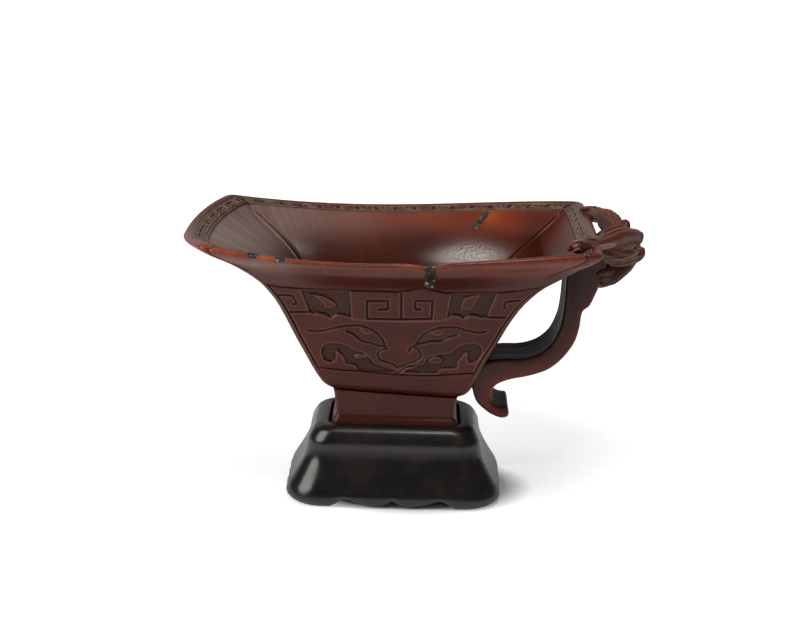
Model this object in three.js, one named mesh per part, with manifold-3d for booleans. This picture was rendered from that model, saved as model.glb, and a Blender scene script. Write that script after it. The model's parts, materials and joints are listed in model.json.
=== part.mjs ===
import * as THREE from 'three';
import { mergeVertices } from 'three/addons/utils/BufferGeometryUtils.js';
import Module from 'manifold-3d';

// A carved horn libation cup on its lacquered wooden stand.
// Millimetres, +Z up. X runs from the spout (-X) to the handle (+X), and the front is -Y.

// Cup foot and bowl. Half lengths and half depths are taken at the corners.
const FOOT_HALF_LENGTH = 21.1;
const FOOT_HALF_DEPTH = 12.9;
const FOOT_HEIGHT = 15.6;
const FOOT_CORNER_RADIUS = 3.4;
const FOOT_WAIST = 1.1;
const BASE_OVERHANG = 0.6;
const BASE_TILT = 0.055;
const BOWL_HEIGHT = 55.8;
const RIM_HALF_LENGTH = 62.2;
const CORNER_DEPTH_PER_LENGTH = 0.6224;
const LIP_START_SHARE = 0.715;
const WALL = 3.8;
const BOWL_FLOOR_THICKNESS = 5.0;
const BORDER_WIDTH = 1.2;
const FRET_BAND_WIDTH = 4.6;
const FRET_BAND_DROP = 1.9;
const FRET_STEP = 0.7;
const RIB_SETBACK = 2.6;
const RIB_HEIGHT = 0.5;

// How far the middle of each side swells past its corners at the rim, and how far it sags.
const FRONT_SWELL = 6.0;
const SPOUT_SWELL = 9.7;
const HANDLE_SIDE_SWELL = 1.0;
const SIDE_SAG = 3.8;
const SPOUT_SAG = 3.6;
const HANDLE_SIDE_SAG = 0.3;
const NOTCH_X = 11.0;
const NOTCH_DEPTH = 2.3;
const NOTCH_DROP = 1.9;
const NOTCH_HALF_WIDTH = 4.0;

// Handle strap and the fills of old damage.
const HANDLE_WIDTH = 20.6;
const HANDLE_BEVEL = 1.2;
const FILL_GAP = 0.3;
const FRONT_FILL_WIDTH = 4.0;
const FRONT_FILL_DEPTH = 3.6;
const FRONT_FILL_END = 0.735;
const FRONT_FILL_END_DEPTH = 1.5;
const SMALL_FILL_WIDTH = 2.2;
const SMALL_FILL_DEPTH = 1.6;
const SMALL_FILL_X = [-44.0, -34.6];
const WALL_FILL_X = 28.8;
const WALL_FILL_WIDTH = 1.8;
const WALL_FILL_DEPTH = 1.3;
const WALL_FILL_HEIGHT = 6.0;
const WALL_FILL_LEAN = 0.5;

// Stand. Its recess follows the foot, and its shoulder and base are set out from the recess.
const STAND_HEIGHT = 26.4;
const SEAT_CLEARANCE = 1.1;
const RECESS_DEPTH = 3.9;
const FOOT_OFFSET = 0.0;
const SHOULDER_LENGTH_MARGIN = 6.9;
const SHOULDER_DEPTH_MARGIN = 5.1;
const BASE_SPREAD = 7.4;
const BASE_DEPTH_SPREAD = 5.7;
const STAND_CORNER_RADIUS = 9.0;
const UNDERSIDE_DEPTH = 5.0;
const APRON_THICKNESS = 8.0;
const ARCH_HEIGHT = 2.5;
const LOBE_NOTCH_HEIGHT = 2.3;
const APRON_FOOT_LENGTH = 15.4;

const wasm = await Module();
wasm.setup();

const SEAT_Z = STAND_HEIGHT - RECESS_DEPTH;
const BOWL_Z = SEAT_Z + FOOT_HEIGHT;
const BASE_HALF_LENGTH = FOOT_HALF_LENGTH + BASE_OVERHANG;
const LIP_START = BOWL_HEIGHT * LIP_START_SHARE;
const NECK_HALF_LENGTH = FOOT_HALF_LENGTH + SEAT_CLEARANCE + SHOULDER_LENGTH_MARGIN;
const NECK_HALF_DEPTH = FOOT_HALF_DEPTH + SEAT_CLEARANCE + SHOULDER_DEPTH_MARGIN;
const STAND_HALF_LENGTH = NECK_HALF_LENGTH + BASE_SPREAD;
const STAND_HALF_DEPTH = NECK_HALF_DEPTH + BASE_DEPTH_SPREAD;

function solidFromGeometry(geometry) {
  const bare = new THREE.BufferGeometry();
  bare.setAttribute('position', geometry.getAttribute('position').clone());
  if (geometry.index) bare.setIndex(geometry.index.clone());
  const merged = mergeVertices(bare, 1e-4);
  return new wasm.Manifold(new wasm.Mesh({
    numProp: 3,
    vertProperties: new Float32Array(merged.getAttribute('position').array),
    triVerts: new Uint32Array(merged.index.array),
  }));
}

function meshFromSolid(name, solid, finish) {
  const data = solid.getMesh();
  const geometry = new THREE.BufferGeometry();
  geometry.setAttribute('position', new THREE.BufferAttribute(new Float32Array(data.vertProperties), 3));
  geometry.setIndex(new THREE.BufferAttribute(new Uint32Array(data.triVerts), 1));
  geometry.computeVertexNormals();
  const mesh = new THREE.Mesh(geometry, new THREE.MeshStandardMaterial(finish));
  mesh.name = name;
  return mesh;
}

// Rings of equal length, joined in order and closed by a flat fan at each end.
function solidFromRings(rings) {
  const count = rings[0].length;
  const positions = rings.flat().flatMap((p) => [p.x, p.y, p.z]);
  const index = [];
  for (let r = 0; r + 1 < rings.length; r += 1) {
    for (let i = 0; i < count; i += 1) {
      const a = r * count + i;
      const b = r * count + ((i + 1) % count);
      index.push(a, b, b + count, a, b + count, a + count);
    }
  }
  for (const [ring, start, flip] of [[rings[0], 0, true], [rings.at(-1), (rings.length - 1) * count, false]]) {
    const middle = ring.reduce((sum, p) => sum.add(p), new THREE.Vector3()).divideScalar(count);
    const hub = positions.length / 3;
    positions.push(middle.x, middle.y, middle.z);
    for (let i = 0; i < count; i += 1) {
      const a = start + i;
      const b = start + ((i + 1) % count);
      index.push(...(flip ? [b, a, hub] : [a, b, hub]));
    }
  }
  const geometry = new THREE.BufferGeometry();
  geometry.setAttribute('position', new THREE.Float32BufferAttribute(positions, 3));
  geometry.setIndex(index);
  return solidFromGeometry(geometry);
}

function prism(outline, depth, place) {
  const shape = new THREE.Shape(outline.map(([x, y]) => new THREE.Vector2(x, y)));
  const geometry = new THREE.ExtrudeGeometry(shape, { depth, bevelEnabled: false });
  geometry.translate(0, 0, -depth / 2);
  geometry.applyMatrix4(place);
  return solidFromGeometry(geometry);
}

// An outline drawn in X and Z, pushed along Y about the middle plane.
const UPRIGHT_XZ = new THREE.Matrix4().makeRotationX(Math.PI / 2);
// An outline drawn in Y and Z, pushed along X.
const UPRIGHT_YZ = new THREE.Matrix4().makeBasis(
  new THREE.Vector3(0, 1, 0), new THREE.Vector3(0, 0, 1), new THREE.Vector3(1, 0, 0));

const along = (points) => new THREE.SplineCurve(points.map(([x, y]) => new THREE.Vector2(x, y)));

// Stand

function roundedRing(halfLength, halfDepth, radius, z) {
  const ring = [];
  const steps = 6;
  const corners = [[1, -1, -Math.PI / 2], [1, 1, 0], [-1, 1, Math.PI / 2], [-1, -1, Math.PI]];
  for (const [sx, sy, start] of corners) {
    for (let i = 0; i <= steps; i += 1) {
      const angle = start + (i / steps) * (Math.PI / 2);
      ring.push(new THREE.Vector3(
        sx * (halfLength - radius) + radius * Math.cos(angle),
        sy * (halfDepth - radius) + radius * Math.sin(angle), z));
    }
  }
  return ring;
}

// The stand's side: height, and how far out it stands from neck (0) to base (1). Past the shoulder
// it turns in over the top, by the last value in millimetres.
function standProfile() {
  const top = STAND_HEIGHT;
  const rows = [[0, 0.5, 0], [0.5, 0.75, 0], [1.8, 0.94, 0], [3.2, 1, 0], [top * 0.21, 0.9, 0],
    [top * 0.3, 0.71, 0], [top * 0.43, 0.44, 0], [top * 0.58, 0.17, 0], [top * 0.7, 0.05, 0],
    [top - 5.4, 0, 0], [top - 3.6, 0, 0.7], [top - 1.5, 0, 2.0], [top - 0.4, 0, 3.4], [top, 0, 4.6]];
  const curve = new THREE.CatmullRomCurve3(rows.map(([z, out, turn]) => new THREE.Vector3(z, out, turn)));
  return curve.getPoints(20);
}

function archOutline(halfSpan, footLength) {
  // Half of the apron's lower edge: flat foot, arch, rounded lobe, pointed middle notch.
  const reach = halfSpan - footLength;
  const edge = along([[reach, -1], [reach * 0.93, 0.8], [reach * 0.77, ARCH_HEIGHT],
    [reach * 0.56, ARCH_HEIGHT / 2], [reach * 0.4, 0.35], [reach * 0.26, 0.2], [reach * 0.1, 0.9],
    [0, LOBE_NOTCH_HEIGHT]]).getPoints(20);
  const right = edge.map((p) => [p.x, p.y]);
  const left = edge.slice(0, -1).reverse().map((p) => [-p.x, p.y]);
  return [...right, ...left];
}

function buildStand() {
  const outside = standProfile().map(({ x: z, y: out, z: turn }) => roundedRing(
    NECK_HALF_LENGTH + BASE_SPREAD * out - turn, NECK_HALF_DEPTH + BASE_DEPTH_SPREAD * out - turn * 0.75,
    STAND_CORNER_RADIUS - 1.5 * (1 - out) - turn * 0.2, z));
  const recess = [[0.9, 0], [0.15, 0.5], [0, 1.2], [0, RECESS_DEPTH]].map(([flare, drop]) => roundedRing(
    FOOT_HALF_LENGTH + SEAT_CLEARANCE + flare, FOOT_HALF_DEPTH + SEAT_CLEARANCE + flare,
    FOOT_CORNER_RADIUS + SEAT_CLEARANCE + flare, STAND_HEIGHT - drop));
  const cavity = [[0, -1], [0, UNDERSIDE_DEPTH - 1.5], [1.5, UNDERSIDE_DEPTH]].map(([inset, z]) => roundedRing(
    STAND_HALF_LENGTH - APRON_THICKNESS - inset, STAND_HALF_DEPTH - APRON_THICKNESS - inset,
    STAND_CORNER_RADIUS - 3, z));
  const longArches = archOutline(STAND_HALF_LENGTH, APRON_FOOT_LENGTH);
  const shortArches = archOutline(STAND_HALF_DEPTH, APRON_FOOT_LENGTH * 0.85);
  return solidFromRings([...outside, ...recess])
    .subtract(solidFromRings(cavity))
    .subtract(prism(longArches, 4 * STAND_HALF_DEPTH, UPRIGHT_XZ))
    .subtract(prism(shortArches, 4 * STAND_HALF_LENGTH, UPRIGHT_YZ));
}

// Cup

const CORNER_STEPS = 3;

const smooth = (x) => {
  const t = Math.min(Math.max(x, 0), 1);
  return t * t * (3 - 2 * t);
};

// The point of a rising curve whose y is the given one.
function pointAt(curve, y) {
  let low = 0;
  let high = 1;
  for (let i = 0; i < 24; i += 1) {
    const mid = (low + high) / 2;
    if (curve.getPoint(mid).y < y) low = mid;
    else high = mid;
  }
  return curve.getPoint(low);
}

const lipShare = (height) => Math.max((height - LIP_START) / (BOWL_HEIGHT - LIP_START), 0);

// Share of the rim's swell and sag that a level has, by height above the bowl's base.
function swellShare(height) {
  return 0.06 + 0.14 * Math.min(Math.max(height / LIP_START, 0), 1) + 0.8 * lipShare(height) ** 1.1;
}

const sagShare = (height) => lipShare(height) ** 1.2;

// Each side runs from corner to corner: its outward direction, swell, sag and number of steps.
const FRONT = { out: [0, -1], steps: 18, swell: FRONT_SWELL, sag: SIDE_SAG, long: true, notch: true };
const HANDLE_SIDE = { out: [1, 0], steps: 6, swell: HANDLE_SIDE_SWELL, sag: HANDLE_SIDE_SAG };
const REAR = { out: [0, 1], steps: 10, swell: FRONT_SWELL, sag: SIDE_SAG, long: true };
const SPOUT = { out: [-1, 0], steps: 9, swell: SPOUT_SWELL, sag: SPOUT_SAG };
const SIDES = [FRONT, HANDLE_SIDE, REAR, SPOUT];

// The bowl's axis leans towards the handle: millimetres past the foot's, and share of the bowl's height.
const LEAN = along([[0.3, 0], [0.6, 0.25], [0.9, 0.5], [1.8, 0.7], [2.6, 0.8], [2.3, 0.9], [1.4, 1]]);

function centreX(height) {
  return FOOT_OFFSET + pointAt(LEAN, Math.min(Math.max(height / BOWL_HEIGHT, 0), 1)).x;
}

// A level is { half, depth, height, radius }: half sizes and rounding at the corners, height over BOWL_Z.
// The joint of foot and bowl is cut at a slant, which dies out above and below.
function levelCorners({ half, depth, height }) {
  const x = centreX(height);
  const slant = BASE_TILT * smooth(1 - Math.abs(height) / 13);
  return [[-half, -depth], [half, -depth], [half, depth], [-half, depth]]
    .map(([dx, dy]) => new THREE.Vector3(x + dx, dy, BOWL_Z + height - slant * dx));
}

// A point on one side of a level, at share f of the way from its first corner to its second.
function sidePoint(side, level, f) {
  const corners = levelCorners(level);
  const k = SIDES.indexOf(side);
  const point = corners[k].clone().lerp(corners[(k + 1) % 4], f);
  const rise = 1 - Math.abs(2 * f - 1) ** 2.3;
  const fromSpout = side === FRONT ? f : 1 - f;
  const dip = side.long ? Math.sin(Math.PI * fromSpout ** 0.75) ** 1.2 : Math.sin(Math.PI * f) ** 1.3;
  const near = side.notch ? Math.exp(-(Math.abs((point.x - NOTCH_X) / NOTCH_HALF_WIDTH) ** 1.5)) : 0;
  const out = side.swell * swellShare(level.height) * rise - NOTCH_DEPTH * near * sagShare(level.height);
  point.x += side.out[0] * out;
  point.y += side.out[1] * out;
  point.z -= (side.sag * dip + NOTCH_DROP * near) * sagShare(level.height);
  return point;
}

function sideLength(side, level) {
  return 2 * (side.long ? level.half : level.depth);
}

// A closed ring of points round one level. The corner is a bead between two set-back points.
function levelRing(level, beadHeight) {
  const ring = [];
  const corners = levelCorners(level);
  SIDES.forEach((side, k) => {
    const next = SIDES[(k + 1) % 4];
    const setBack = Math.min(level.radius / sideLength(side, level), 0.45);
    const nextSetBack = Math.min(level.radius / sideLength(next, level), 0.45);
    for (let i = 0; i < side.steps; i += 1) {
      ring.push(sidePoint(side, level, setBack + (1 - 2 * setBack) * (i / side.steps)));
    }
    const outward = new THREE.Vector3(side.out[0] + next.out[0], side.out[1] + next.out[1], 0).normalize();
    const tip = corners[(k + 1) % 4].clone().addScaledVector(outward, beadHeight * 2);
    const corner = new THREE.QuadraticBezierCurve3(
      sidePoint(side, level, 1 - setBack), tip, sidePoint(next, level, nextSetBack));
    for (let i = 0; i < CORNER_STEPS; i += 1) ring.push(corner.getPoint(i / CORNER_STEPS));
  });
  return ring;
}

function cornerDepth(half) {
  return FOOT_HALF_DEPTH + BASE_OVERHANG + CORNER_DEPTH_PER_LENGTH * (half - BASE_HALF_LENGTH);
}

function footLevels() {
  // How far out the foot stands, from its waist (0) to its bead (1), and height above the seat.
  const top = FOOT_HEIGHT;
  const rows = [[0.45, 0], [0.9, 0.7], [1, 2.2], [1, 3.9], [0.7, 5.2], [0.1, 6.4], [0, 8.0],
    [0.3, top - 4.2], [0.8, top - 1.1], [0.8, top - 0.8], [0.3, top - 0.5], [0.3, top - 0.2]];
  return rows.map(([out, z]) => ({
    half: FOOT_HALF_LENGTH - FOOT_WAIST * (1 - out), depth: FOOT_HALF_DEPTH - FOOT_WAIST * (1 - out),
    height: z - FOOT_HEIGHT, radius: FOOT_CORNER_RADIUS,
  }));
}

// The outside of the bowl at its corner ribs: shares of the spread to the rim, and of the height.
const SPREAD = RIM_HALF_LENGTH - BASE_HALF_LENGTH;
const CORNER_RIB = along([[0, 0], [0.04, 0.018], [0.075, 0.047], [0.118, 0.105], [0.194, 0.226],
  [0.283, 0.358], [0.364, 0.485], [0.436, 0.584], [0.495, 0.648], [0.576, 0.72], [0.645, 0.765],
  [0.707, 0.801], [0.788, 0.846], [0.862, 0.883], [0.955, 0.924], [1.02, 0.962], [1.03, 0.986], [1, 1]]
  .map(([out, up]) => [BASE_HALF_LENGTH + SPREAD * out, BOWL_HEIGHT * up]));

const outerLevel = ({ x, y }) => ({ half: x, depth: cornerDepth(x), height: y, radius: RIB_SETBACK });
const outerLevels = () => CORNER_RIB.getPoints(25).map(outerLevel);
const innerLevel = (half, height) => (
  { half, depth: Math.max(cornerDepth(half), half * 0.45), height, radius: RIB_SETBACK });

const BAND_EDGE = RIM_HALF_LENGTH - BORDER_WIDTH - FRET_BAND_WIDTH;
const INNER_TOP = BOWL_HEIGHT - 0.2 - FRET_BAND_DROP - FRET_STEP;
const innerWall = (height) => innerLevel(pointAt(CORNER_RIB, height).x - WALL, height);

function innerLevels() {
  const floor = BOWL_FLOOR_THICKNESS;
  const walls = [0.9, 0.76, 0.6, 0.42, 0.26, 0.16, 0.1]
    .map((share) => innerWall(floor + (INNER_TOP - floor) * share));
  const foot = walls.at(-1).half;
  return [
    innerLevel(RIM_HALF_LENGTH - BORDER_WIDTH * 0.7, BOWL_HEIGHT + 0.05),
    innerLevel(RIM_HALF_LENGTH - BORDER_WIDTH, BOWL_HEIGHT - 0.2),
    innerLevel(BAND_EDGE, INNER_TOP + FRET_STEP),
    innerLevel(BAND_EDGE - 0.4, INNER_TOP),
    ...walls,
    innerLevel(foot * 0.84, floor + 1.7),
    innerLevel(foot * 0.62, floor + 0.6),
    innerLevel(foot * 0.36, floor + 0.1),
  ];
}

function buildBowl() {
  const foot = footLevels().map((level) => levelRing(level, 0));
  const outside = outerLevels().map((level) => levelRing(level, RIB_HEIGHT * smooth(level.height / 4)));
  const inside = innerLevels().map((level) => levelRing(level, 0));
  return solidFromRings([...foot, ...outside, ...inside]);
}

// Handle

// The side outline is drawn in millimetres from the bowl's lower edge, for this reach and bowl height,
// and follows the bowl when either changes.
const DRAWN_REACH = 42.6;
const DRAWN_HEIGHT = 55.8;
const ROOT_X = centreX(0) + BASE_HALF_LENGTH;
const RIM_END_X = centreX(BOWL_HEIGHT) + RIM_HALF_LENGTH + HANDLE_SIDE_SWELL;

function onBowl([x, z]) {
  return [ROOT_X + x * ((RIM_END_X - ROOT_X) / DRAWN_REACH), BOWL_Z + z * (BOWL_HEIGHT / DRAWN_HEIGHT)];
}

function buildHandle() {
  const inner = [[34.5, 48.4], [34.4, 40.9], [34.1, 31.9], [33.4, 24.1], [30.6, 17.4], [26.3, 13.5],
    [19.6, 11.6], [7.6, 11.6]];
  const hookBack = [[3.9, 4.1], [4.3, -0.1], [5.8, -4.1], [9.5, -7.5], [14.3, -9.6], [16.4, -9.1],
    [16.8, -6.8]];
  const outer = [[15.7, -5.9], [12.5, -5.3], [10.6, -2.7], [11.3, 1.1], [15.1, 3.5], [22.1, 5.2],
    [29.5, 7.9], [35.4, 13.4], [38.6, 19.3], [40.1, 28.5]];
  const spur = [[42.6, 30.5], [45.2, 36.9], [47.5, 41.9], [47.5, 47.9], [43, 51.9]];
  const curved = [[inner, 14], [hookBack, 10], [outer, 20]]
    .flatMap(([rows, count]) => along(rows.map(onBowl)).getPoints(count));
  const shape = new THREE.Shape([...curved, ...spur.map(onBowl).map(([x, z]) => new THREE.Vector2(x, z))]);
  const geometry = new THREE.ExtrudeGeometry(shape, {
    depth: HANDLE_WIDTH - 2 * HANDLE_BEVEL, bevelEnabled: true, bevelThickness: HANDLE_BEVEL,
    bevelSize: HANDLE_BEVEL * 0.6, bevelOffset: -HANDLE_BEVEL * 0.6, bevelSegments: 1,
  });
  geometry.translate(0, 0, -(HANDLE_WIDTH - 2 * HANDLE_BEVEL) / 2);
  geometry.applyMatrix4(UPRIGHT_XZ);
  return solidFromGeometry(geometry);
}

// Dragons

// A tapering limb: rows of x, y, z from the middle of the rim's handle end, and radius.
function limb(rows, sides = 8, steps = 7) {
  const path = new THREE.CatmullRomCurve3(rows.map(([x, y, z]) => (
    new THREE.Vector3(RIM_END_X + x, y, BOWL_Z + BOWL_HEIGHT + z))));
  const radii = along(rows.map((row, i) => [i, row[3]]));
  const frames = path.computeFrenetFrames(steps, false);
  const rings = [];
  for (let s = 0; s <= steps; s += 1) {
    const radius = radii.getPoint(s / steps).y;
    const centre = path.getPoint(s / steps);
    rings.push(Array.from({ length: sides }, (_, i) => {
      const angle = (2 * Math.PI * i) / sides;
      return centre.clone()
        .addScaledVector(frames.normals[s], radius * Math.cos(angle))
        .addScaledVector(frames.binormals[s], radius * Math.sin(angle));
    }));
  }
  return solidFromRings(rings);
}

// Two chi dragons climbing from the handle over the rim.
const DRAGON_LIMBS = [
  // Shared body on the outside of the handle.
  [[0.5, 0, -17.9, 6], [5.5, -1, -13.9, 6.4], [10.9, -2, -9.5, 5.4], [12.9, -2, -4.9, 4.2]],
  // Front dragon: long smooth neck reaching to the front corner, and its head over the rim.
  [[14.8, -3, -2.5, 2.4], [10, -9, -1.1, 2.9], [5.5, -15, -1.1, 2.8], [1, -22, -1, 2.5],
    [-3.1, -28, -0.3, 2.5], [-7, -32, 0.3, 2.4], [-8.9, -33.6, -0.3, 1.5]],
  // Rear dragon: arched neck, and its head on the rim.
  [[11.3, 2, -4.3, 3.4], [10.1, 6, -2.1, 3], [8.1, 11.5, -0.3, 2.9], [5.5, 16.5, -0.2, 2.8],
    [2.7, 20.8, -1, 2.6], [-0.1, 23.4, -1.9, 2.2]],
  // Haunches and curled knobs at the outer end.
  [[13, -2.5, -5.4, 2.6], [14.8, -3.2, -3.3, 2.6], [15.4, -3.6, -1.5, 1.6]],
  [[13.5, -4, -9.7, 2.4], [15.7, -4.4, -8.1, 2.4], [16.4, -4.6, -5.9, 1.4]],
  [[13.1, 3.4, -9.9, 2.6], [15.1, 4.2, -7.3, 2.4], [14.7, 4.6, -4.5, 1.8]],
  [[10.9, 4, -2.3, 1.8], [11.9, 6, -0.3, 1.7], [10.9, 7.6, 0.7, 1.2]],
  // Fanned mane and fore leg on the front side.
  [[14.1, -6.5, -7.7, 2], [10, -10.2, -7.1, 3], [5.5, -13.4, -6.3, 2.8], [1, -16.5, -4.5, 2]],
  // Fore leg on the rear side.
  [[13, 5, -7.9, 2.2], [9, 10, -6.9, 2.8], [4.5, 13.5, -5.3, 2.6], [0.5, 16, -3.5, 1.8]],
  // Tail curling under.
  [[12.1, -3.6, -11.9, 2.8], [9.5, -6, -14.1, 2.6], [6.9, -8, -16.3, 2], [3.7, -9, -17.3, 1.3]],
];

// Fills

// The share along the front or rear of a level at which X has the given value.
function shareAtX(side, level, x) {
  const offset = (x - centreX(level.height)) / level.half;
  return side === FRONT ? (1 + offset) / 2 : (1 - offset) / 2;
}

const surfaceAtX = (side, level, x) => sidePoint(side, level, shareAtX(side, level, x));

// Each fill is the part of the cup inside a block, and the cup is cut to the same block plus a gap.
function fillBlocks(gap) {
  const lipLevel = outerLevel(pointAt(CORNER_RIB, BOWL_HEIGHT * 0.97));
  const clear = 6;
  const at = (x) => new THREE.Matrix4().makeTranslation(x, 0, 0).multiply(UPRIGHT_YZ);
  // The front fill runs down the lip to the carving, and gets thinner on the way.
  const lip = surfaceAtX(FRONT, lipLevel, NOTCH_X);
  const flare = [0.95, 0.91, 0.87, 0.82, 0.77, FRONT_FILL_END].map((share, i) => {
    const skin = surfaceAtX(FRONT, outerLevel(pointAt(CORNER_RIB, BOWL_HEIGHT * share)), NOTCH_X);
    return [skin.y + Math.max(FRONT_FILL_DEPTH - i, FRONT_FILL_END_DEPTH) + 2 * gap, skin.z];
  });
  flare.at(-1)[1] -= gap;
  const frontOutline = [[lip.y - clear, lip.z + clear], [lip.y + FRONT_FILL_DEPTH + gap, lip.z + clear],
    ...flare, [lip.y - clear, flare.at(-1)[1]]];
  const blocks = { rim_fill_front: prism(frontOutline, FRONT_FILL_WIDTH + 2 * gap, at(NOTCH_X)) };
  SMALL_FILL_X.forEach((x, i) => {
    const edge = surfaceAtX(FRONT, lipLevel, x);
    const back = edge.y + SMALL_FILL_DEPTH + gap;
    const outline = [[edge.y - clear, edge.z + clear], [back, edge.z + clear], [back, edge.z - 2 - gap],
      [edge.y - clear, edge.z - 2 - gap]];
    blocks[`rim_fill_left_${i + 1}`] = prism(outline, SMALL_FILL_WIDTH + 2 * gap, at(x));
  });
  const high = surfaceAtX(REAR, innerWall(INNER_TOP - 1), WALL_FILL_X);
  const base = surfaceAtX(REAR, innerWall(INNER_TOP - 1 - WALL_FILL_HEIGHT), WALL_FILL_X);
  // The rear fill is a block square to the sloping wall, and it leans across it.
  const up = new THREE.Vector2(high.y - base.y, high.z - base.z).normalize();
  const into = new THREE.Vector2(up.y, -up.x);
  const corner = (end, share, depth) => [
    end.y + share * gap * up.x + depth * into.x, end.z + share * gap * up.y + depth * into.y];
  const wallOutline = [corner(base, -1, -clear), corner(base, -1, WALL_FILL_DEPTH + gap),
    corner(high, 1, WALL_FILL_DEPTH + gap), corner(high, 1, -clear)];
  const level = (high.z + base.z) / 2;
  const leaning = new THREE.Matrix4().makeTranslation(0, 0, level)
    .multiply(new THREE.Matrix4().makeRotationY(WALL_FILL_LEAN))
    .multiply(new THREE.Matrix4().makeTranslation(0, 0, -level));
  const place = new THREE.Matrix4().makeTranslation(WALL_FILL_X, 0, 0).multiply(leaning).multiply(UPRIGHT_YZ);
  blocks.wall_fill_rear = prism(wallOutline, WALL_FILL_WIDTH + 2 * gap, place);
  return blocks;
}

const HORN = { color: 0x4a1a10, roughness: 0.42, metalness: 0 };
const LACQUERED_WOOD = { color: 0x14100e, roughness: 0.22, metalness: 0 };
const DARK_FILL = { color: 0x17130f, roughness: 0.6, metalness: 0 };

let cup = buildBowl().add(buildHandle());
for (const rows of DRAGON_LIMBS) cup = cup.add(limb(rows));

const group = new THREE.Group();
group.add(meshFromSolid('wooden_stand', buildStand(), LACQUERED_WOOD));
for (const [name, block] of Object.entries(fillBlocks(0))) {
  group.add(meshFromSolid(name, cup.intersect(block), DARK_FILL));
}
for (const pocket of Object.values(fillBlocks(FILL_GAP))) cup = cup.subtract(pocket);
group.add(meshFromSolid('horn_cup', cup, HORN));

// The origin is at the middle of the whole piece, on the surface that it stands on.
const bounds = new THREE.Box3().setFromObject(group, true);
const middle = bounds.getCenter(new THREE.Vector3());
group.position.set(-middle.x, -middle.y, -bounds.min.z);

export default group;
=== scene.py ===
"""A carved horn cup on its lacquered wooden stand: the finish of every surface around the fixed frame.

The cup has a mask carved on its walls, a key fret round the rim, four fills of old damage and a
strap handle with two dragons. Sizes are in millimetres from the middle of the stand's foot,
up from the table. X runs from the spout to the handle, and the front is -Y.
"""

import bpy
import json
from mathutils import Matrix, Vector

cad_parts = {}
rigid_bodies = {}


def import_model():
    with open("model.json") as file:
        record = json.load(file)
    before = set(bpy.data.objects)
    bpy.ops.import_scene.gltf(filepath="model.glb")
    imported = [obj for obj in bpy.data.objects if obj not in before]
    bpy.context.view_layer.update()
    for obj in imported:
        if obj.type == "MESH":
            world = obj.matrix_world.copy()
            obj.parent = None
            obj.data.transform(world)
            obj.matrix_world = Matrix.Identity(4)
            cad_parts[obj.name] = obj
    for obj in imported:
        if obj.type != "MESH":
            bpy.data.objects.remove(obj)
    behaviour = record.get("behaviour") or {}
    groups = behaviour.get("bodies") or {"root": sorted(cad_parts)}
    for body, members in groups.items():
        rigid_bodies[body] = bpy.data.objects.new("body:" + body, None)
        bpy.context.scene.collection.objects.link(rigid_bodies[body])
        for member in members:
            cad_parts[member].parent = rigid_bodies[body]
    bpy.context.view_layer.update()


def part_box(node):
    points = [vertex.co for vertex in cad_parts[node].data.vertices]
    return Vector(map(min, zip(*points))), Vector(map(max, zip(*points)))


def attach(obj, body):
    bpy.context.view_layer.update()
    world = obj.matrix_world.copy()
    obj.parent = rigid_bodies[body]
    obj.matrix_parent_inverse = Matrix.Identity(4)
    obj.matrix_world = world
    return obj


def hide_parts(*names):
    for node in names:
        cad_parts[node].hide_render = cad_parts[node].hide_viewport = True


bl_info = {
    "name": "Carved horn cup",
    "version": (1, 0, 0),
    "blender": (4, 5, 0),
    "location": "3D View > Sidebar > Horn Cup",
    "description": "Builds a carved horn cup with its fret rim, fills, dragon handle and wooden stand",
    "category": "Add Mesh",
}

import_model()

import json
import math
from collections import namedtuple

import bmesh
import bpy
import numpy as np
from bpy.props import FloatProperty, FloatVectorProperty, PointerProperty
from mathutils import Vector, noise

MM = 0.001
STAND_LOW, STAND_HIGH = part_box("wooden_stand")
CUP_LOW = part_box("horn_cup")[0]
ORIGIN = np.array([(STAND_LOW.x + STAND_HIGH.x) / 2, (STAND_LOW.y + STAND_HIGH.y) / 2, 0.0]) / MM

# Foot of the cup, from the stand's seat up. Its waist is narrower, and the bowl's base overhangs it.
SEAT_Z = CUP_LOW.z / MM
FOOT_HALF_LENGTH = 21.1
FOOT_HALF_DEPTH = 12.9
FOOT_HEIGHT = 15.6
FOOT_CORNER_RADIUS = 3.4
FOOT_WAIST = 1.1
BASE_OVERHANG = 0.6
# The bowl's base slopes down towards the handle, and the slope fades out over this height.
BASE_TILT = 0.055
TILT_HEIGHT = 13
# Bowl, from its base up to the corners of its rim.
BOWL_Z = SEAT_Z + FOOT_HEIGHT
BOWL_HEIGHT = 55.8
BASE_HALF_LENGTH = FOOT_HALF_LENGTH + BASE_OVERHANG
RIM_HALF_LENGTH = 62.2
CORNER_DEPTH_PER_LENGTH = 0.6224
LIP_START = 0.715 * BOWL_HEIGHT
WALL = 3.8
FLOOR_THICKNESS = 5.0
# The band inside the rim: its plain border, the fret's edge and width, and how far it slopes down.
BORDER_WIDTH = 1.2
FRET_BORDER = 2.0
FRET_WIDTH = 3.8
BAND_WIDTH = 4.6
BAND_DROP = 1.9
BAND_STEP = 0.7
# Each corner is rounded off from this far back.
CORNER_SETBACK = 1.9
# The worn notch in the front rim: how far in and how far down it goes.
NOTCH_X = 11.0
NOTCH_DEPTH = 2.3
NOTCH_DROP = 1.9
NOTCH_HALF_WIDTH = 4.0
RIM_Z = BOWL_Z + BOWL_HEIGHT
# The fret's ground: how far under the rim it begins, and how far it falls across its width.
GROUND_DROP = 0.66
GROUND_FALL = BAND_DROP - 0.46
# Height of the inner wall's top, under the step at the fret band's inner edge.
INNER_TOP = BOWL_HEIGHT - 0.2 - BAND_DROP - BAND_STEP
# The rolled top of the lip: how far in from the rim's outer edge, and how far above it.
RIM_ROLL = [[0, 0], [0.3, 0.06], [0.8, 0.05], [1.4, -0.12], [1.8, -0.28]]

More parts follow.
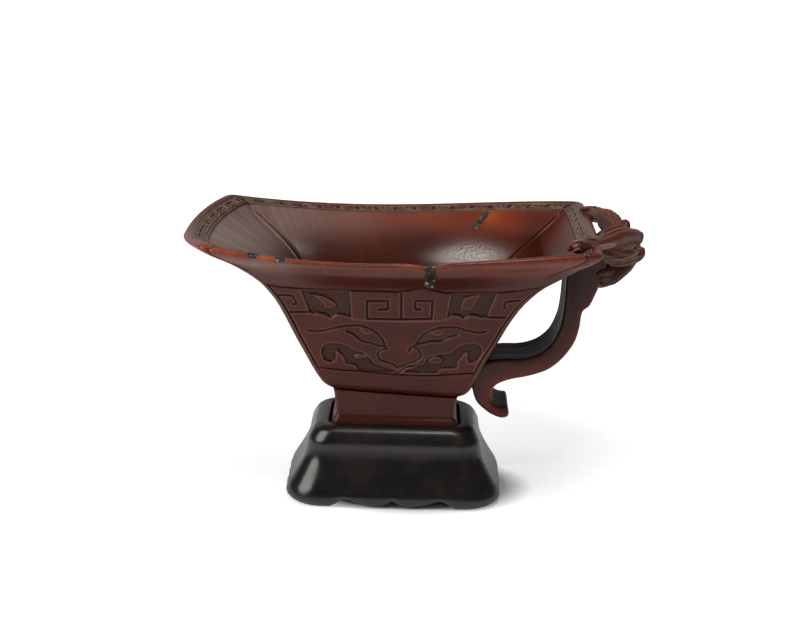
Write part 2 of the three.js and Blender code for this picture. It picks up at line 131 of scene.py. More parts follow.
# Stand: a seat with a shoulder round it, a neck, and a base that spreads to the apron.
STAND_HEIGHT = STAND_HIGH.z / MM
SEAT_CLEARANCE = 1.1
RECESS_DEPTH = STAND_HEIGHT - SEAT_Z
SHOULDER_LENGTH_MARGIN = 6.9
SHOULDER_DEPTH_MARGIN = 5.1
BASE_SPREAD = 7.4
BASE_DEPTH_SPREAD = 5.7
STAND_CORNER_RADIUS = 9.0
UNDERSIDE_DEPTH = 5.0
APRON_THICKNESS = 8.0
APRON_FOOT_LENGTH = 15.4
NECK_HALF_LENGTH = FOOT_HALF_LENGTH + SEAT_CLEARANCE + SHOULDER_LENGTH_MARGIN
NECK_HALF_DEPTH = FOOT_HALF_DEPTH + SEAT_CLEARANCE + SHOULDER_DEPTH_MARGIN


# Curves and small helpers

def spline(rows, count):
    """As many points as asked, evenly spread by row, on a smooth curve through the rows."""
    rows = np.array(rows, float)
    t = np.linspace(0, len(rows) - 1, count)
    k = np.minimum(t.astype(int), len(rows) - 2)
    w = (t - k)[:, None]
    p0, p1, p2, p3 = (rows[np.clip(k + i, 0, len(rows) - 1)] for i in (-1, 0, 1, 2))
    v0, v1 = (p2 - p0) / 2, (p3 - p1) / 2
    return (2 * (p1 - p2) + v0 + v1) * w**3 + (3 * (p2 - p1) - 2 * v0 - v1) * w**2 + v0 * w + p1


def smooth(x):
    """0 below 0, 1 above 1, and a soft step between them."""
    t = np.clip(x, 0, 1)
    return t * t * (3 - 2 * t)


def rise(value, start, length):
    """0 up to the start, 1 from a length beyond it, and a soft step between them."""
    return smooth((value - start) / length)


def fall(value, end, length):
    """1 up to a length before the end, 0 from the end on, and a soft step between them."""
    return smooth((end - value) / length)


def bump(x, width):
    """A bell curve: 1 at 0, and next to nothing beyond twice the width."""
    return np.exp(-((x / width) ** 2))


def tint(name):
    """One of the add-on's colours, with full alpha."""
    return (*getattr(bpy.context.scene.horn_cup_colours, name), 1.0)


def add_object(name, data):
    made = bpy.data.objects.new(name, data)
    bpy.context.scene.collection.objects.link(made)
    return made


def in_metres(points):
    """Points as the frame has them: in metres, from the frame's own origin."""
    return ((np.asarray(points) + ORIGIN) * MM).tolist()


def merged(parts):
    """Several meshes, each given as points and faces, as one."""
    points, faces = [], []
    for part, quads in parts:
        faces += [tuple(i + len(points) for i in quad) for quad in quads]
        points += np.asarray(part).tolist()
    return np.array(points), faces


def evaluated_mesh(carrier):
    """What an object's modifiers make of it, as a plain mesh."""
    bpy.context.view_layer.update()
    evaluated = carrier.evaluated_get(bpy.context.evaluated_depsgraph_get())
    return bpy.data.meshes.new_from_object(evaluated)


# Shape of the bowl: the outside at its corner ribs, as shares of the spread and of the height
SPREAD = RIM_HALF_LENGTH - BASE_HALF_LENGTH
RIB = spline([[0, 0], [0.04, 0.018], [0.075, 0.047], [0.118, 0.105], [0.194, 0.226], [0.283, 0.358],
              [0.364, 0.485], [0.436, 0.584], [0.495, 0.648], [0.576, 0.72], [0.645, 0.765],
              [0.707, 0.801], [0.788, 0.846], [0.862, 0.883], [0.955, 0.924], [1.02, 0.962],
              [1.03, 0.986], [1, 1]], 600) * [SPREAD, BOWL_HEIGHT] + [BASE_HALF_LENGTH, 0]
# How far the bowl's axis leans towards the handle, and the share of the bowl's height.
LEAN = spline([[0.3, 0], [0.6, 0.25], [0.9, 0.5], [1.8, 0.7], [2.6, 0.8], [2.3, 0.9], [1.4, 1]], 200)

# A side of the cup from corner to corner, and which way is out. Its middle swells out and its rim
# sags by these lengths at the top, and its ring has this many points.
Side = namedtuple("Side", "start end out swell sag steps")
FRONT = Side((-1, -1), (1, -1), (0, -1), 6.0, 3.8, 170)
HANDLE_SIDE = Side((1, -1), (1, 1), (1, 0), 1.0, 0.3, 70)
REAR = Side((1, 1), (-1, 1), (0, 1), 6.0, 3.8, 170)
SPOUT = Side((-1, 1), (-1, -1), (-1, 0), 9.7, 3.6, 80)
SIDES = [FRONT, HANDLE_SIDE, REAR, SPOUT]
LONG_SIDES = (FRONT, REAR)
CORNER_STEPS = 16
# Given for ring points that aren't on a corner.
OFF_CORNER = 9.0


def rib_half(height):
    """Half length of the bowl's outside, from corner rib to corner rib, at a height."""
    return np.interp(height, RIB[:, 1], RIB[:, 0])


def corner_depth(half):
    """Half depth of the bowl at its corners, where its half length is this."""
    return FOOT_HALF_DEPTH + BASE_OVERHANG + CORNER_DEPTH_PER_LENGTH * (half - BASE_HALF_LENGTH)


def centre_x(height):
    """How far the bowl's middle is from the stand's at a height."""
    return np.interp(height / BOWL_HEIGHT, LEAN[:, 1], LEAN[:, 0])


def lip_share(height):
    """0 below the lip, growing to 1 at the rim."""
    return np.maximum((height - LIP_START) / (BOWL_HEIGHT - LIP_START), 0)


def side_point(side, f, half, depth, height):
    """The point at share f of one side of the bowl, for half sizes and a height at its corners."""
    f = np.asarray(f, float)
    dx = half * (side.start[0] + (side.end[0] - side.start[0]) * f)
    x = centre_x(height) + dx
    y = depth * (side.start[1] + (side.end[1] - side.start[1]) * f)
    slant = BASE_TILT * smooth(1 - np.abs(height) / TILT_HEIGHT)
    rounded = 1 - np.abs(2 * f - 1) ** 2.3
    if side in LONG_SIDES:
        dip = np.sin(np.pi * (f if side is FRONT else 1 - f) ** 0.75) ** 1.2
    else:
        dip = np.sin(np.pi * f) ** 1.3
    notch = np.exp(-(np.abs((x - NOTCH_X) / NOTCH_HALF_WIDTH) ** 1.5)) if side is FRONT else 0.0
    lip = lip_share(height)
    swell = 0.06 + 0.14 * np.clip(height / LIP_START, 0, 1) + 0.8 * lip**1.1
    out = side.swell * swell * rounded - NOTCH_DEPTH * notch * lip**1.2
    z = BOWL_Z + height - slant * dx - (side.sag * dip + NOTCH_DROP * notch) * lip**1.2
    return np.stack(np.broadcast_arrays(x + side.out[0] * out, y + side.out[1] * out, z), -1)


def side_length(side, half, depth):
    return 2 * (half if side in LONG_SIDES else depth)


def steps_along(side):
    """Shares along a side's straight part, closer together towards its ends."""
    t = np.arange(side.steps) / side.steps
    return t - 0.45 * np.sin(2 * np.pi * t) / (2 * np.pi)


def bowl_ring(level):
    """A closed ring round the cup. level(side, f) gives half length, half depth and height."""
    ring = []
    for k, side in enumerate(SIDES):
        after = SIDES[(k + 1) % 4]
        half, depth, _ = level(side, np.array(1.0))
        back = min(CORNER_SETBACK / side_length(side, half, depth), 0.45)
        after_back = min(CORNER_SETBACK / side_length(after, half, depth), 0.45)
        f = back + (1 - 2 * back) * steps_along(side)
        ring.append(side_point(side, f, *level(side, f)))
        start = side_point(side, 1 - back, *level(side, np.array(1 - back)))
        tip = side_point(side, 1.0, *level(side, np.array(1.0)))
        end = side_point(after, after_back, *level(after, np.array(after_back)))
        t = (np.arange(CORNER_STEPS) / CORNER_STEPS)[:, None]
        ring.append((1 - t) ** 2 * start + 2 * t * (1 - t) * tip + t * t * end)
    return np.concatenate(ring)


# Place of each ring point: its side, its share of that side, and -1 to 1 across a corner.
RING_SIDE = np.concatenate([np.repeat(k, s.steps + CORNER_STEPS) for k, s in enumerate(SIDES)])
RING_SHARE = np.concatenate([np.r_[steps_along(s), np.ones(CORNER_STEPS)] for s in SIDES])
RING_CORNER = np.concatenate(
    [np.r_[np.full(s.steps, OFF_CORNER), 2 * np.arange(CORNER_STEPS) / CORNER_STEPS - 1] for s in SIDES])


# Lines that bound the carved panels: x, and height above the bowl's base
REGISTER_LINE = np.array([[-41, 40.7], [-36.7, 39.7], [-32.1, 39.4], [-24.4, 39.1], [-15.1, 39.1],
                          [1.9, 38.9], [5.8, 39.7], [9.5, 40.5], [13.5, 39.7], [17.6, 38.8],
                          [23.7, 39.1], [33.3, 39.3], [39.1, 40.0], [44.5, 41.4]])
BOTTOM_LINE = np.array([[-27, 9.5], [-21.7, 8.7], [-16.6, 8.2], [-10.5, 8.1], [-4.2, 7.5],
                        [1.3, 7.4], [7.3, 7.3], [15.3, 7.6], [26.7, 8.7]])
# The corner heights at which the two lines' x are measured, above the bowl's base.
REGISTER_LEVEL = 39.5
BOTTOM_LEVEL = 8.5
# On the short sides both lines sag this much between the corners.
SHORT_SIDE_SAG = 1.2
# Carving points are measured from a line this far left of the stand's middle.
CARVING_ZERO_X = -0.9


def line_height(side, f, line, level):
    """Height of a panel's bounding line at share f of a side. Short sides dip between corners."""
    if side in LONG_SIDES:
        across = 2 * f - 1 if side is FRONT else 1 - 2 * f
        return np.interp(centre_x(level) - CARVING_ZERO_X + across * rib_half(level), *line.T)
    corner = line[0, 1] if side is SPOUT else line[-1, 1]
    return corner - SHORT_SIDE_SAG * (1 - (2 * f - 1) ** 2)


def register_height(side, f):
    return line_height(side, f, REGISTER_LINE, REGISTER_LEVEL)


def bottom_height(side, f):
    return line_height(side, f, BOTTOM_LINE, BOTTOM_LEVEL)


def outer_level(height):
    """A level of the bowl's outside, from its height as a function of side and share."""
    def level(side, f):
        h = height(side, f)
        half = rib_half(h)
        return half, corner_depth(half), h
    return level


def flat_level(half, height, depth=None):
    """A level with the same sizes and the same corner height on every side."""
    depth = corner_depth(half) if depth is None else depth
    return lambda side, f: (half, depth, height)


# Mesh making

def closed_tube_faces(rows, count):
    """Quads of rings joined in order, and a fan to a hub vertex at each end."""
    a = np.arange(rows - 1)[:, None] * count + np.arange(count)
    b = np.arange(rows - 1)[:, None] * count + (np.arange(count) + 1) % count
    quads = np.stack([a, b, b + count, a + count], -1).reshape(-1, 4).tolist()
    ring = np.arange(count)
    turned = (ring + 1) % count
    last = (rows - 1) * count
    start = np.stack([turned, ring, np.full(count, rows * count)], -1).tolist()
    end = np.stack([last + ring, last + turned, np.full(count, rows * count + 1)], -1).tolist()
    return quads + start + end


def with_hubs(rings):
    """Ring points as one list, with the middle of the first and the last ring added."""
    return np.concatenate([rings.reshape(-1, 3), [rings[0].mean(0)], [rings[-1].mean(0)]])


def grid_normals(grid, closed):
    """Unit normals of a grid of points, rows first; closed rings wrap round."""
    along = np.gradient(grid, axis=0)
    if closed:
        around = np.roll(grid, -1, 1) - np.roll(grid, 1, 1)
    else:
        around = np.gradient(grid, axis=1)
    normals = np.cross(around, along)
    return normals / np.maximum(np.linalg.norm(normals, axis=-1, keepdims=True), 1e-9)


def make_piece(name, points, faces, tones=None, uv=None, hubs=0):
    """A mesh piece from points in millimetres. tones are named values, one for each point, and
    the last value holds for the hubs, the points that follow."""
    mesh = bpy.data.meshes.new(name)
    mesh.from_pydata(in_metres(points), [], faces)
    mesh.polygons.foreach_set("use_smooth", np.ones(len(mesh.polygons), bool))
    for tone, values in (tones or {}).items():
        values = np.asarray(values, np.float32).ravel()
        values = np.concatenate([values, np.repeat(values[-1:], hubs)])
        mesh.attributes.new(tone, "FLOAT", "POINT").data.foreach_set("value", values)
    if uv is not None:
        layer = mesh.uv_layers.new(name="UVMap")
        corners = np.zeros(len(mesh.loops), np.int32)
        mesh.loops.foreach_get("vertex_index", corners)
        layer.data.foreach_set("uv", np.asarray(uv, np.float32)[corners].ravel())
    mesh.update()
    return add_object(name, mesh)


def finish_piece(piece, body, slot, material, *nodes):
    """Gives a piece its material and body, and hides the frame nodes that it stands for. The slot is not
    used.
    """
    piece.data.materials.clear()
    piece.data.materials.append(material)
    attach(piece, body)
    if nodes:
        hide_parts(*nodes)
    return piece


# Materials

class Tree:
    """A node tree under construction."""

    def __init__(self, tree):
        self.tree = tree

    def add(self, kind, inputs=None, **settings):
        made = self.tree.nodes.new(kind)
        for setting, value in settings.items():
            setattr(made, setting, value)
        for socket, value in (inputs or {}).items():
            self.put(made.inputs[socket], value)
        return made

    def put(self, socket, value):
        if isinstance(value, bpy.types.NodeSocket):
            self.tree.links.new(value, socket)
        else:
            socket.default_value = value

    def calc(self, operation, a, b):
        return self.add("ShaderNodeMath", {0: a, 1: b}, operation=operation).outputs[0]

    def times(self, a, b):
        return self.calc("MULTIPLY", a, b)


class Shader(Tree):
    """A node material under construction."""

    def __init__(self, name):
        self.material = bpy.data.materials.new(name)
        self.material.use_nodes = True
        super().__init__(self.material.node_tree)
        self.surface = self.tree.nodes["Principled BSDF"]

    def tone(self, name):
        return self.add("ShaderNodeAttribute", attribute_name=name).outputs["Fac"]

    def noise(self, scale, detail, roughness, stretch=(1, 1, 1), coords="Object"):
        place = self.add("ShaderNodeTexCoord").outputs[coords]
        mapping = self.add("ShaderNodeMapping", {"Vector": place, "Scale": stretch})
        return self.add("ShaderNodeTexNoise", {
            "Vector": mapping.outputs["Vector"], "Scale": scale, "Detail": detail,
            "Roughness": roughness}).outputs["Fac"]

    def ramp(self, value, low, high, to_low=0.0, to_high=1.0):
        return self.add("ShaderNodeMapRange", {
            "Value": value, "From Min": low, "From Max": high, "To Min": to_low,
            "To Max": to_high}).outputs["Result"]

    def mix(self, share, a, b):
        # The colour sockets of this node can only be told apart by number.
        return self.add("ShaderNodeMix", {0: share, 6: a, 7: b}, data_type="RGBA").outputs[2]

    def bump(self, height, strength, distance, below=None):
        made = self.add("ShaderNodeBump", {"Height": height, "Strength": strength, "Distance": distance})
        if below is not None:
            self.put(made.inputs["Normal"], below)
        return made.outputs["Normal"]

    def finish(self, **inputs):
        for socket, value in inputs.items():
            self.put(self.surface.inputs[socket.replace("_", " ")], value)
        return self.material


def horn_material():
    """Dark horn with a high polish. Its tones say where it is thin and red, amber or dusty, where painted
    shade darkens its cuts and hollows, where a painted highlight lies on its edges, and where a greyish film
    with painted sheen lies.
    """
    if "polished_horn" in bpy.data.materials:
        return bpy.data.materials["polished_horn"]
    s = Shader("polished_horn")
    fibre = s.noise(0.75, 3, 0.6, stretch=(1, 0.035, 1), coords="UV")
    mottle = s.noise(24, 2, 0.5)
    fine = s.noise(900, 2, 0.5)
    dust, polish, shine = s.tone("dust"), s.tone("polish"), s.tone("shine")
    base = s.mix(s.ramp(mottle, 0.35, 0.65), tint("horn_dark"), tint("horn"))
    # Layers of colour, each over the last: its name, and how much of it shows where. The greyish layer is
    # partly a film on the horn and partly painted sheen, the edge colour is a painted highlight, pale is
    # dust and also a painted highlight on the dragons, and the cut colour is painted shade.
    for name, share in (
            ("horn_dark", s.times(s.ramp(fibre, 0.42, 0.62), 0.6)),
            ("thin_red", s.times(s.tone("thin"), s.ramp(fibre, 0.38, 0.6, 0.3, 1.0))),
            ("amber", s.times(s.tone("amber"), s.ramp(fibre, 0.3, 0.6, 0.6, 1.0))),
            ("bloom", s.times(s.tone("bloom"), s.ramp(mottle, 0.3, 0.7, 0.75, 1.0))),
            ("edge_highlight", s.times(s.tone("edge"), 0.75)),
            ("dust", s.times(dust, s.ramp(fine, 0.35, 0.6, 0.45, 1.0))),
            ("pale", s.tone("pale")),
            ("cut", s.tone("line"))):
        base = s.mix(share, base, tint(name))
    # Inside the handle the horn is dark and dull, darkened further as painted shade where the loop faces the
    # bowl.
    polish_and_shade = s.mix(s.ramp(fibre, 0.35, 0.65), tint("cut"), tint("polish_and_shade"))
    base = s.mix(polish, base, polish_and_shade)
    rough = s.ramp(fine, 0.3, 0.7, 0.28, 0.33)
    for more in (s.times(dust, 0.3), s.times(shine, 0.12),
                 s.times(polish, s.ramp(fibre, 0.35, 0.65, 0.4, 0.0))):
        rough = s.calc("ADD", rough, more)
    normal = s.bump(fibre, 0.2, 0.00006)
    normal = s.bump(s.noise(1100, 1, 0.5), s.times(shine, 0.9), 0.0002, normal)
    gloss = 0.33
    for less in (s.times(polish, 0.25), s.times(s.tone("matt"), 0.33),
                 s.ramp(s.tone("line"), 0.55, 1.0, 0.0, 0.22)):
        gloss = s.calc("SUBTRACT", gloss, less)
    gloss = s.calc("ADD", gloss, s.times(shine, 0.8))
    return s.finish(Base_Color=base, Roughness=rough, Normal=normal, Specular_IOR_Level=gloss)


def fill_material():
    """Black resin fill with cream and gold flecks."""
    if "resin_fill" in bpy.data.materials:
        return bpy.data.materials["resin_fill"]
    s = Shader("resin_fill")
    speck = s.noise(700, 2, 0.5)
    patch = s.noise(260, 3, 0.6)
    base = s.mix(s.ramp(patch, 0.4, 0.7), tint("fill"), tint("fill_worn"))
    flecks = s.ramp(s.calc("ADD", speck, s.times(s.tone("fleck"), 0.3)), 0.66, 0.72)
    base = s.mix(flecks, base, tint("fleck"))
    normal = s.bump(s.noise(500, 4, 0.6), 0.5, 0.0003)
    return s.finish(Base_Color=base, Roughness=s.ramp(patch, 0.3, 0.7, 0.3, 0.55), Normal=normal)


def lacquer_material():
    """Near-black lacquered wood with a soft gloss, faint grain and a little wear."""
    s = Shader("black_lacquer")
    grain = s.noise(300, 4, 0.6, stretch=(0.12, 1, 1))
    wear = s.noise(90, 4, 0.6)
    base = s.mix(s.ramp(wear, 0.45, 0.75), tint("lacquer"), tint("lacquer_worn"))
    rough = s.calc("ADD", s.ramp(wear, 0.3, 0.7, 0.2, 0.28), s.ramp(grain, 0.4, 0.7, 0.0, 0.06))
    rough = s.calc("ADD", rough, s.times(s.tone("worn"), 0.22))
    normal = s.bump(grain, 0.16, 0.0001)
    normal = s.bump(s.noise(70, 2, 0.5), 0.1, 0.0008, normal)
    return s.finish(Base_Color=base, Roughness=rough, Normal=normal, Specular_IOR_Level=0.75)


def backdrop_material():
    """White paper that glows towards the camera and takes a soft shadow. Distances in metres."""
    s = Shader("backdrop_white")
    path = s.add("ShaderNodeLightPath")
    mirrored = s.times(path.outputs["Is Glossy Ray"], 0.2)
    seen = s.calc("MAXIMUM", path.outputs["Is Camera Ray"], path.outputs["Is Transmission Ray"])
    seen = s.calc("MAXIMUM", seen, mirrored)
    place = s.add("ShaderNodeTexCoord").outputs["Object"]
    away = s.add("ShaderNodeVectorMath", {0: place}, operation="LENGTH").outputs["Value"]
    glow = s.times(seen, s.ramp(away, 0.15, 0.55, 0.58, 1.0))
    # No glow under the stand, so that its arches stay dark.
    squeezed = s.add("ShaderNodeVectorMath", {0: place, 1: (1.0, 1.45, 1.0)}, operation="MULTIPLY")
    near = s.add("ShaderNodeVectorMath", {0: squeezed.outputs["Vector"]}, operation="LENGTH")
    glow = s.times(glow, s.ramp(near.outputs["Value"], 0.033, 0.043))
    return s.finish(Base_Color=(0.75, 0.75, 0.75, 1), Roughness=0.9, Specular_IOR_Level=0.0,
                    Emission_Color=(1, 1, 1, 1), Emission_Strength=glow)


# Settings in the sidebar

def size_setting(name, millimetres, description):
    return FloatProperty(name=name, unit="LENGTH", default=millimetres * MM, description=description)


def colour_setting(name, default, description):
    return FloatVectorProperty(name=name, subtype="COLOR", default=default, description=description)


def power_setting(name, default, description):
    return FloatProperty(name=name, unit="POWER", default=default, description=description)


class CupSizes(bpy.types.PropertyGroup):
    """Sizes of the carving, the fret band and the dragons."""
    carving_depth: size_setting("Carving depth", 0.6, "Depth of the hatched ground under the raised parts")
    groove_depth: size_setting("Groove depth", 0.5, "Depth of the cut lines")
    groove_width: size_setting("Groove width", 0.68, "Width of the cut lines")
    hatch_pitch: size_setting("Hatch pitch", 0.75, "Distance between the lines of the hatched ground")
    hatch_depth: size_setting("Hatch depth", 0.2, "Depth of the lines of the hatched ground")
    panel_inset: size_setting("Panel inset", 1.2, "How far the shell stands back behind a carved panel")
    fret_pitch: size_setting("Fret pitch", 3.6, "Length of one key of the rim fret along the rim")
    fret_relief: size_setting("Fret relief", 0.4, "How far the fret stands proud of the band")
    fret_line: size_setting("Fret line width", 0.5, "Width of the raised lines of the fret")
    ridge_relief: size_setting("Ridge relief", 0.7, "How far the ridges in the bowl's corners stand out")
    dragon_voxel: size_setting("Dragon voxel", 0.32, "Grid size at which the dragons are fused")


class CupColours(bpy.types.PropertyGroup):
    """Colours of the horn, the fills and the stand."""
    horn: colour_setting("Horn", (0.118, 0.021, 0.010), "Reddish brown horn")
    horn_dark: colour_setting("Dark horn", (0.060, 0.010, 0.005), "Darker patches and fibres")
    thin_red: colour_setting("Thin horn", (0.23, 0.030, 0.009), "Red where light comes through thin horn")
    amber: colour_setting("Amber", (0.42, 0.085, 0.008), "Amber patches")
    # Partly a greyish film on the horn and partly painted sheen: a painted reflection of the white backdrop
    # on the spout's inner wall and the lip's face.
    bloom: colour_setting("Bloom", (0.22, 0.145, 0.125), "Greyish bloom on the inside")
    # A painted highlight: lighter colour where light catches raised edges, ridges and the lip's face.
    edge_highlight: colour_setting("Worn edge", (0.235, 0.098, 0.072), "Lighter edges of the carving")
    dust: colour_setting("Dust", (0.098, 0.055, 0.036), "Olive dust in the carved ground")
    # Pale is also a painted highlight along the dragons' ridges and the crests of the mane.
    pale: colour_setting("Pale dust", (0.22, 0.16, 0.115), "Pale dry dust on the fret and on the dragons")
    # Painted shade: dark in cut lines and hatching, in the hollow under the lip, under the bowl's base, low
    # inside the bowl and in the dragons' furrows.
    cut: colour_setting("Cut line", (0.012, 0.004, 0.003), "Dark bottom of the cut lines")
    # Dark, dull horn inside the handle, partly painted shade where the loop faces the bowl.
    polish_and_shade: colour_setting("Polished horn", (0.030, 0.019, 0.015), "Dark polished inside of the handle")
    fill: colour_setting("Fill", (0.004, 0.004, 0.0035), "Black resin of the fills")
    fill_worn: colour_setting("Worn fill", (0.02, 0.024, 0.022), "Greyer patches of the fills")
    fleck: colour_setting("Fleck", (0.55, 0.38, 0.15), "Gold and cream flecks in the fills")
    lacquer: colour_setting("Lacquer", (0.0045, 0.0035, 0.0028), "Black lacquer of the stand")
    lacquer_worn: colour_setting("Worn lacquer", (0.012, 0.007, 0.005), "Browner lacquer where it is worn")


class StageSettings(bpy.types.PropertyGroup):
    """Light levels of the stage."""
    world_level: FloatProperty(name="World level", default=0.3, description="Brightness all round")
    key_power: power_setting("Key power", 4.9, "Power of the big soft lamp at the upper left")
    top_power: power_setting("Top power", 0.8, "Power of the soft lamp above")
    glint_power: power_setting("Glint power", 1.6, "Power of the small lamp above the front")
    spot_power: power_setting("Spot power", 9.0, "Power of the narrow spot on the inside of the rear wall")


# Stage

class HORNCUP_OT_stage(bpy.types.Operator):
    """Make the white floor and backdrop, the lamps, the world and the camera"""
    bl_idname = "horncup.stage"
    bl_label = "Stage"

    # The camera stands where the reference view was taken from, with the picture's own framing.
    # Its place and lens are in millimetres, and its turn in degrees.
    CAMERA_PLACE = (3.3313, -573.713, 223.423)
    CAMERA_TURN = (74.0595, -1.0196, 1.0849)
    CAMERA_LENS = 78.84
    CAMERA_SENSOR = 36
    # From here on in metres. The soft lamps, each with its width and place, all aim at the cup.
    SOFT_LAMPS = {"key": (0.7, (-0.74, -0.36, 0.52)), "top": (0.35, (0.02, 0.20, 0.75)),
                  "glint": (0.22, (0.05, -0.30, 0.66))}
    LAMP_AIM = (0, 0, 0.06)
    LAMP_COLOUR = (1.0, 0.97, 0.93)
    SPOT_PLACE = (0.05, -0.35, 0.56)
    SPOT_AIM = (0.025, 0.015, 0.078)
    SPOT_COLOUR = (1.0, 0.9, 0.8)
    SPOT_DEGREES = 7
    FLOOR_HALF_WIDTH = 3.0
    FLOOR_FRONT = -3.0
    BACKDROP_PLACE = 2.5
    BACKDROP_BEND = 1.0
    BACKDROP_HEIGHT = 3.0

    def execute(self, context):
        settings = context.scene.horn_cup_stage
        context.scene.view_settings.view_transform = "Standard"
        self.make_camera(context.scene)
        self.make_backdrop()
        self.make_world(context.scene, settings.world_level)
        for name, (width, place) in self.SOFT_LAMPS.items():
            lamp = self.make_lamp(name, "AREA", getattr(settings, f"{name}_power"), place, self.LAMP_AIM,
                                  shape="DISK", size=width, color=self.LAMP_COLOUR)
            # The lamp above isn't mirrored in the horn.
            lamp.visible_glossy = name != "top"
        self.make_lamp("bowl_spot", "SPOT", settings.spot_power, self.SPOT_PLACE, self.SPOT_AIM,
                       spot_size=math.radians(self.SPOT_DEGREES), spot_blend=0.8,
                       color=self.SPOT_COLOUR, shadow_soft_size=0.04)
        return {"FINISHED"}

    def make_camera(self, scene):
        camera = add_object("camera", bpy.data.cameras.new("camera"))
        camera.location = [v * MM for v in self.CAMERA_PLACE]
        camera.rotation_euler = [math.radians(v) for v in self.CAMERA_TURN]
        camera.data.lens = self.CAMERA_LENS
        camera.data.sensor_width = self.CAMERA_SENSOR
        camera.data.clip_start = 0.05
        scene.camera = camera

    def make_backdrop(self):
        """A floor that curves up into a wall far behind, white to the eye, with soft shadows."""
        bend, foot = self.BACKDROP_BEND, self.BACKDROP_PLACE - self.BACKDROP_BEND
        rows = [(self.FLOOR_FRONT, 0.0), (foot, 0.0)]
        rows += [(foot + bend * math.sin(a), bend - bend * math.cos(a))
                 for a in np.linspace(0, math.pi / 2, 12)[1:]]
        rows += [(self.BACKDROP_PLACE, self.BACKDROP_HEIGHT)]
        points = [(x, y, z) for y, z in rows for x in (-self.FLOOR_HALF_WIDTH, self.FLOOR_HALF_WIDTH)]
        faces = [(2 * i, 2 * i + 1, 2 * i + 3, 2 * i + 2) for i in range(len(rows) - 1)]
        mesh = bpy.data.meshes.new("backdrop")
        mesh.from_pydata(points, [], faces)
        mesh.polygons.foreach_set("use_smooth", np.ones(len(faces), bool))
        mesh.materials.append(backdrop_material())
        add_object("backdrop", mesh)

    def make_world(self, scene, level):
        """Even light, dimmer in mirrors, with pure white behind for the camera."""
        scene.world = bpy.data.worlds.new("studio")
        scene.world.use_nodes = True
        world = Tree(scene.world.node_tree)
        path = world.add("ShaderNodeLightPath")
        strength = level
        for ray, seen in (("Is Glossy Ray", level * 0.3), ("Is Camera Ray", 1.0)):
            strength = world.add("ShaderNodeMix", {
                "Factor": path.outputs[ray], "A": strength, "B": seen}).outputs["Result"]
        background = world.tree.nodes["Background"]
        world.put(background.inputs["Strength"], strength)
        world.put(background.inputs["Color"], (1, 1, 1, 1))

    def make_lamp(self, name, kind, power, place, aim, **look):
        lamp = add_object(name, bpy.data.lights.new(name, kind))
        lamp.data.energy = power
        for setting, value in look.items():
            setattr(lamp.data, setting, value)
        lamp.location = place
        lamp.rotation_euler = (Vector(aim) - lamp.location).to_track_quat("-Z", "Y").to_euler()
        return lamp


# Stand

def rounded_ring(half_length, half_depth, radius, z):
    """A rounded rectangle, anticlockwise from the right end of its -Y side."""
    side_steps = (60, 96)
    turn = np.linspace(0, math.pi / 2, 15)
    corners = [(1, -1, -math.pi / 2), (1, 1, 0), (-1, 1, math.pi / 2), (-1, -1, math.pi)]
    arcs = [np.stack([sx * (half_length - radius) + radius * np.cos(start + turn),
                      sy * (half_depth - radius) + radius * np.sin(start + turn)], -1)
            for sx, sy, start in corners]
    parts = []
    for k, arc in enumerate(arcs):
        share = np.linspace(0, 1, side_steps[k % 2] + 1)[1:-1, None]
        parts += [arc, arc[-1] + (arcs[(k + 1) % 4][0] - arc[-1]) * share]
    flat = np.concatenate(parts)
    return np.c_[flat, np.full(len(flat), float(z))]


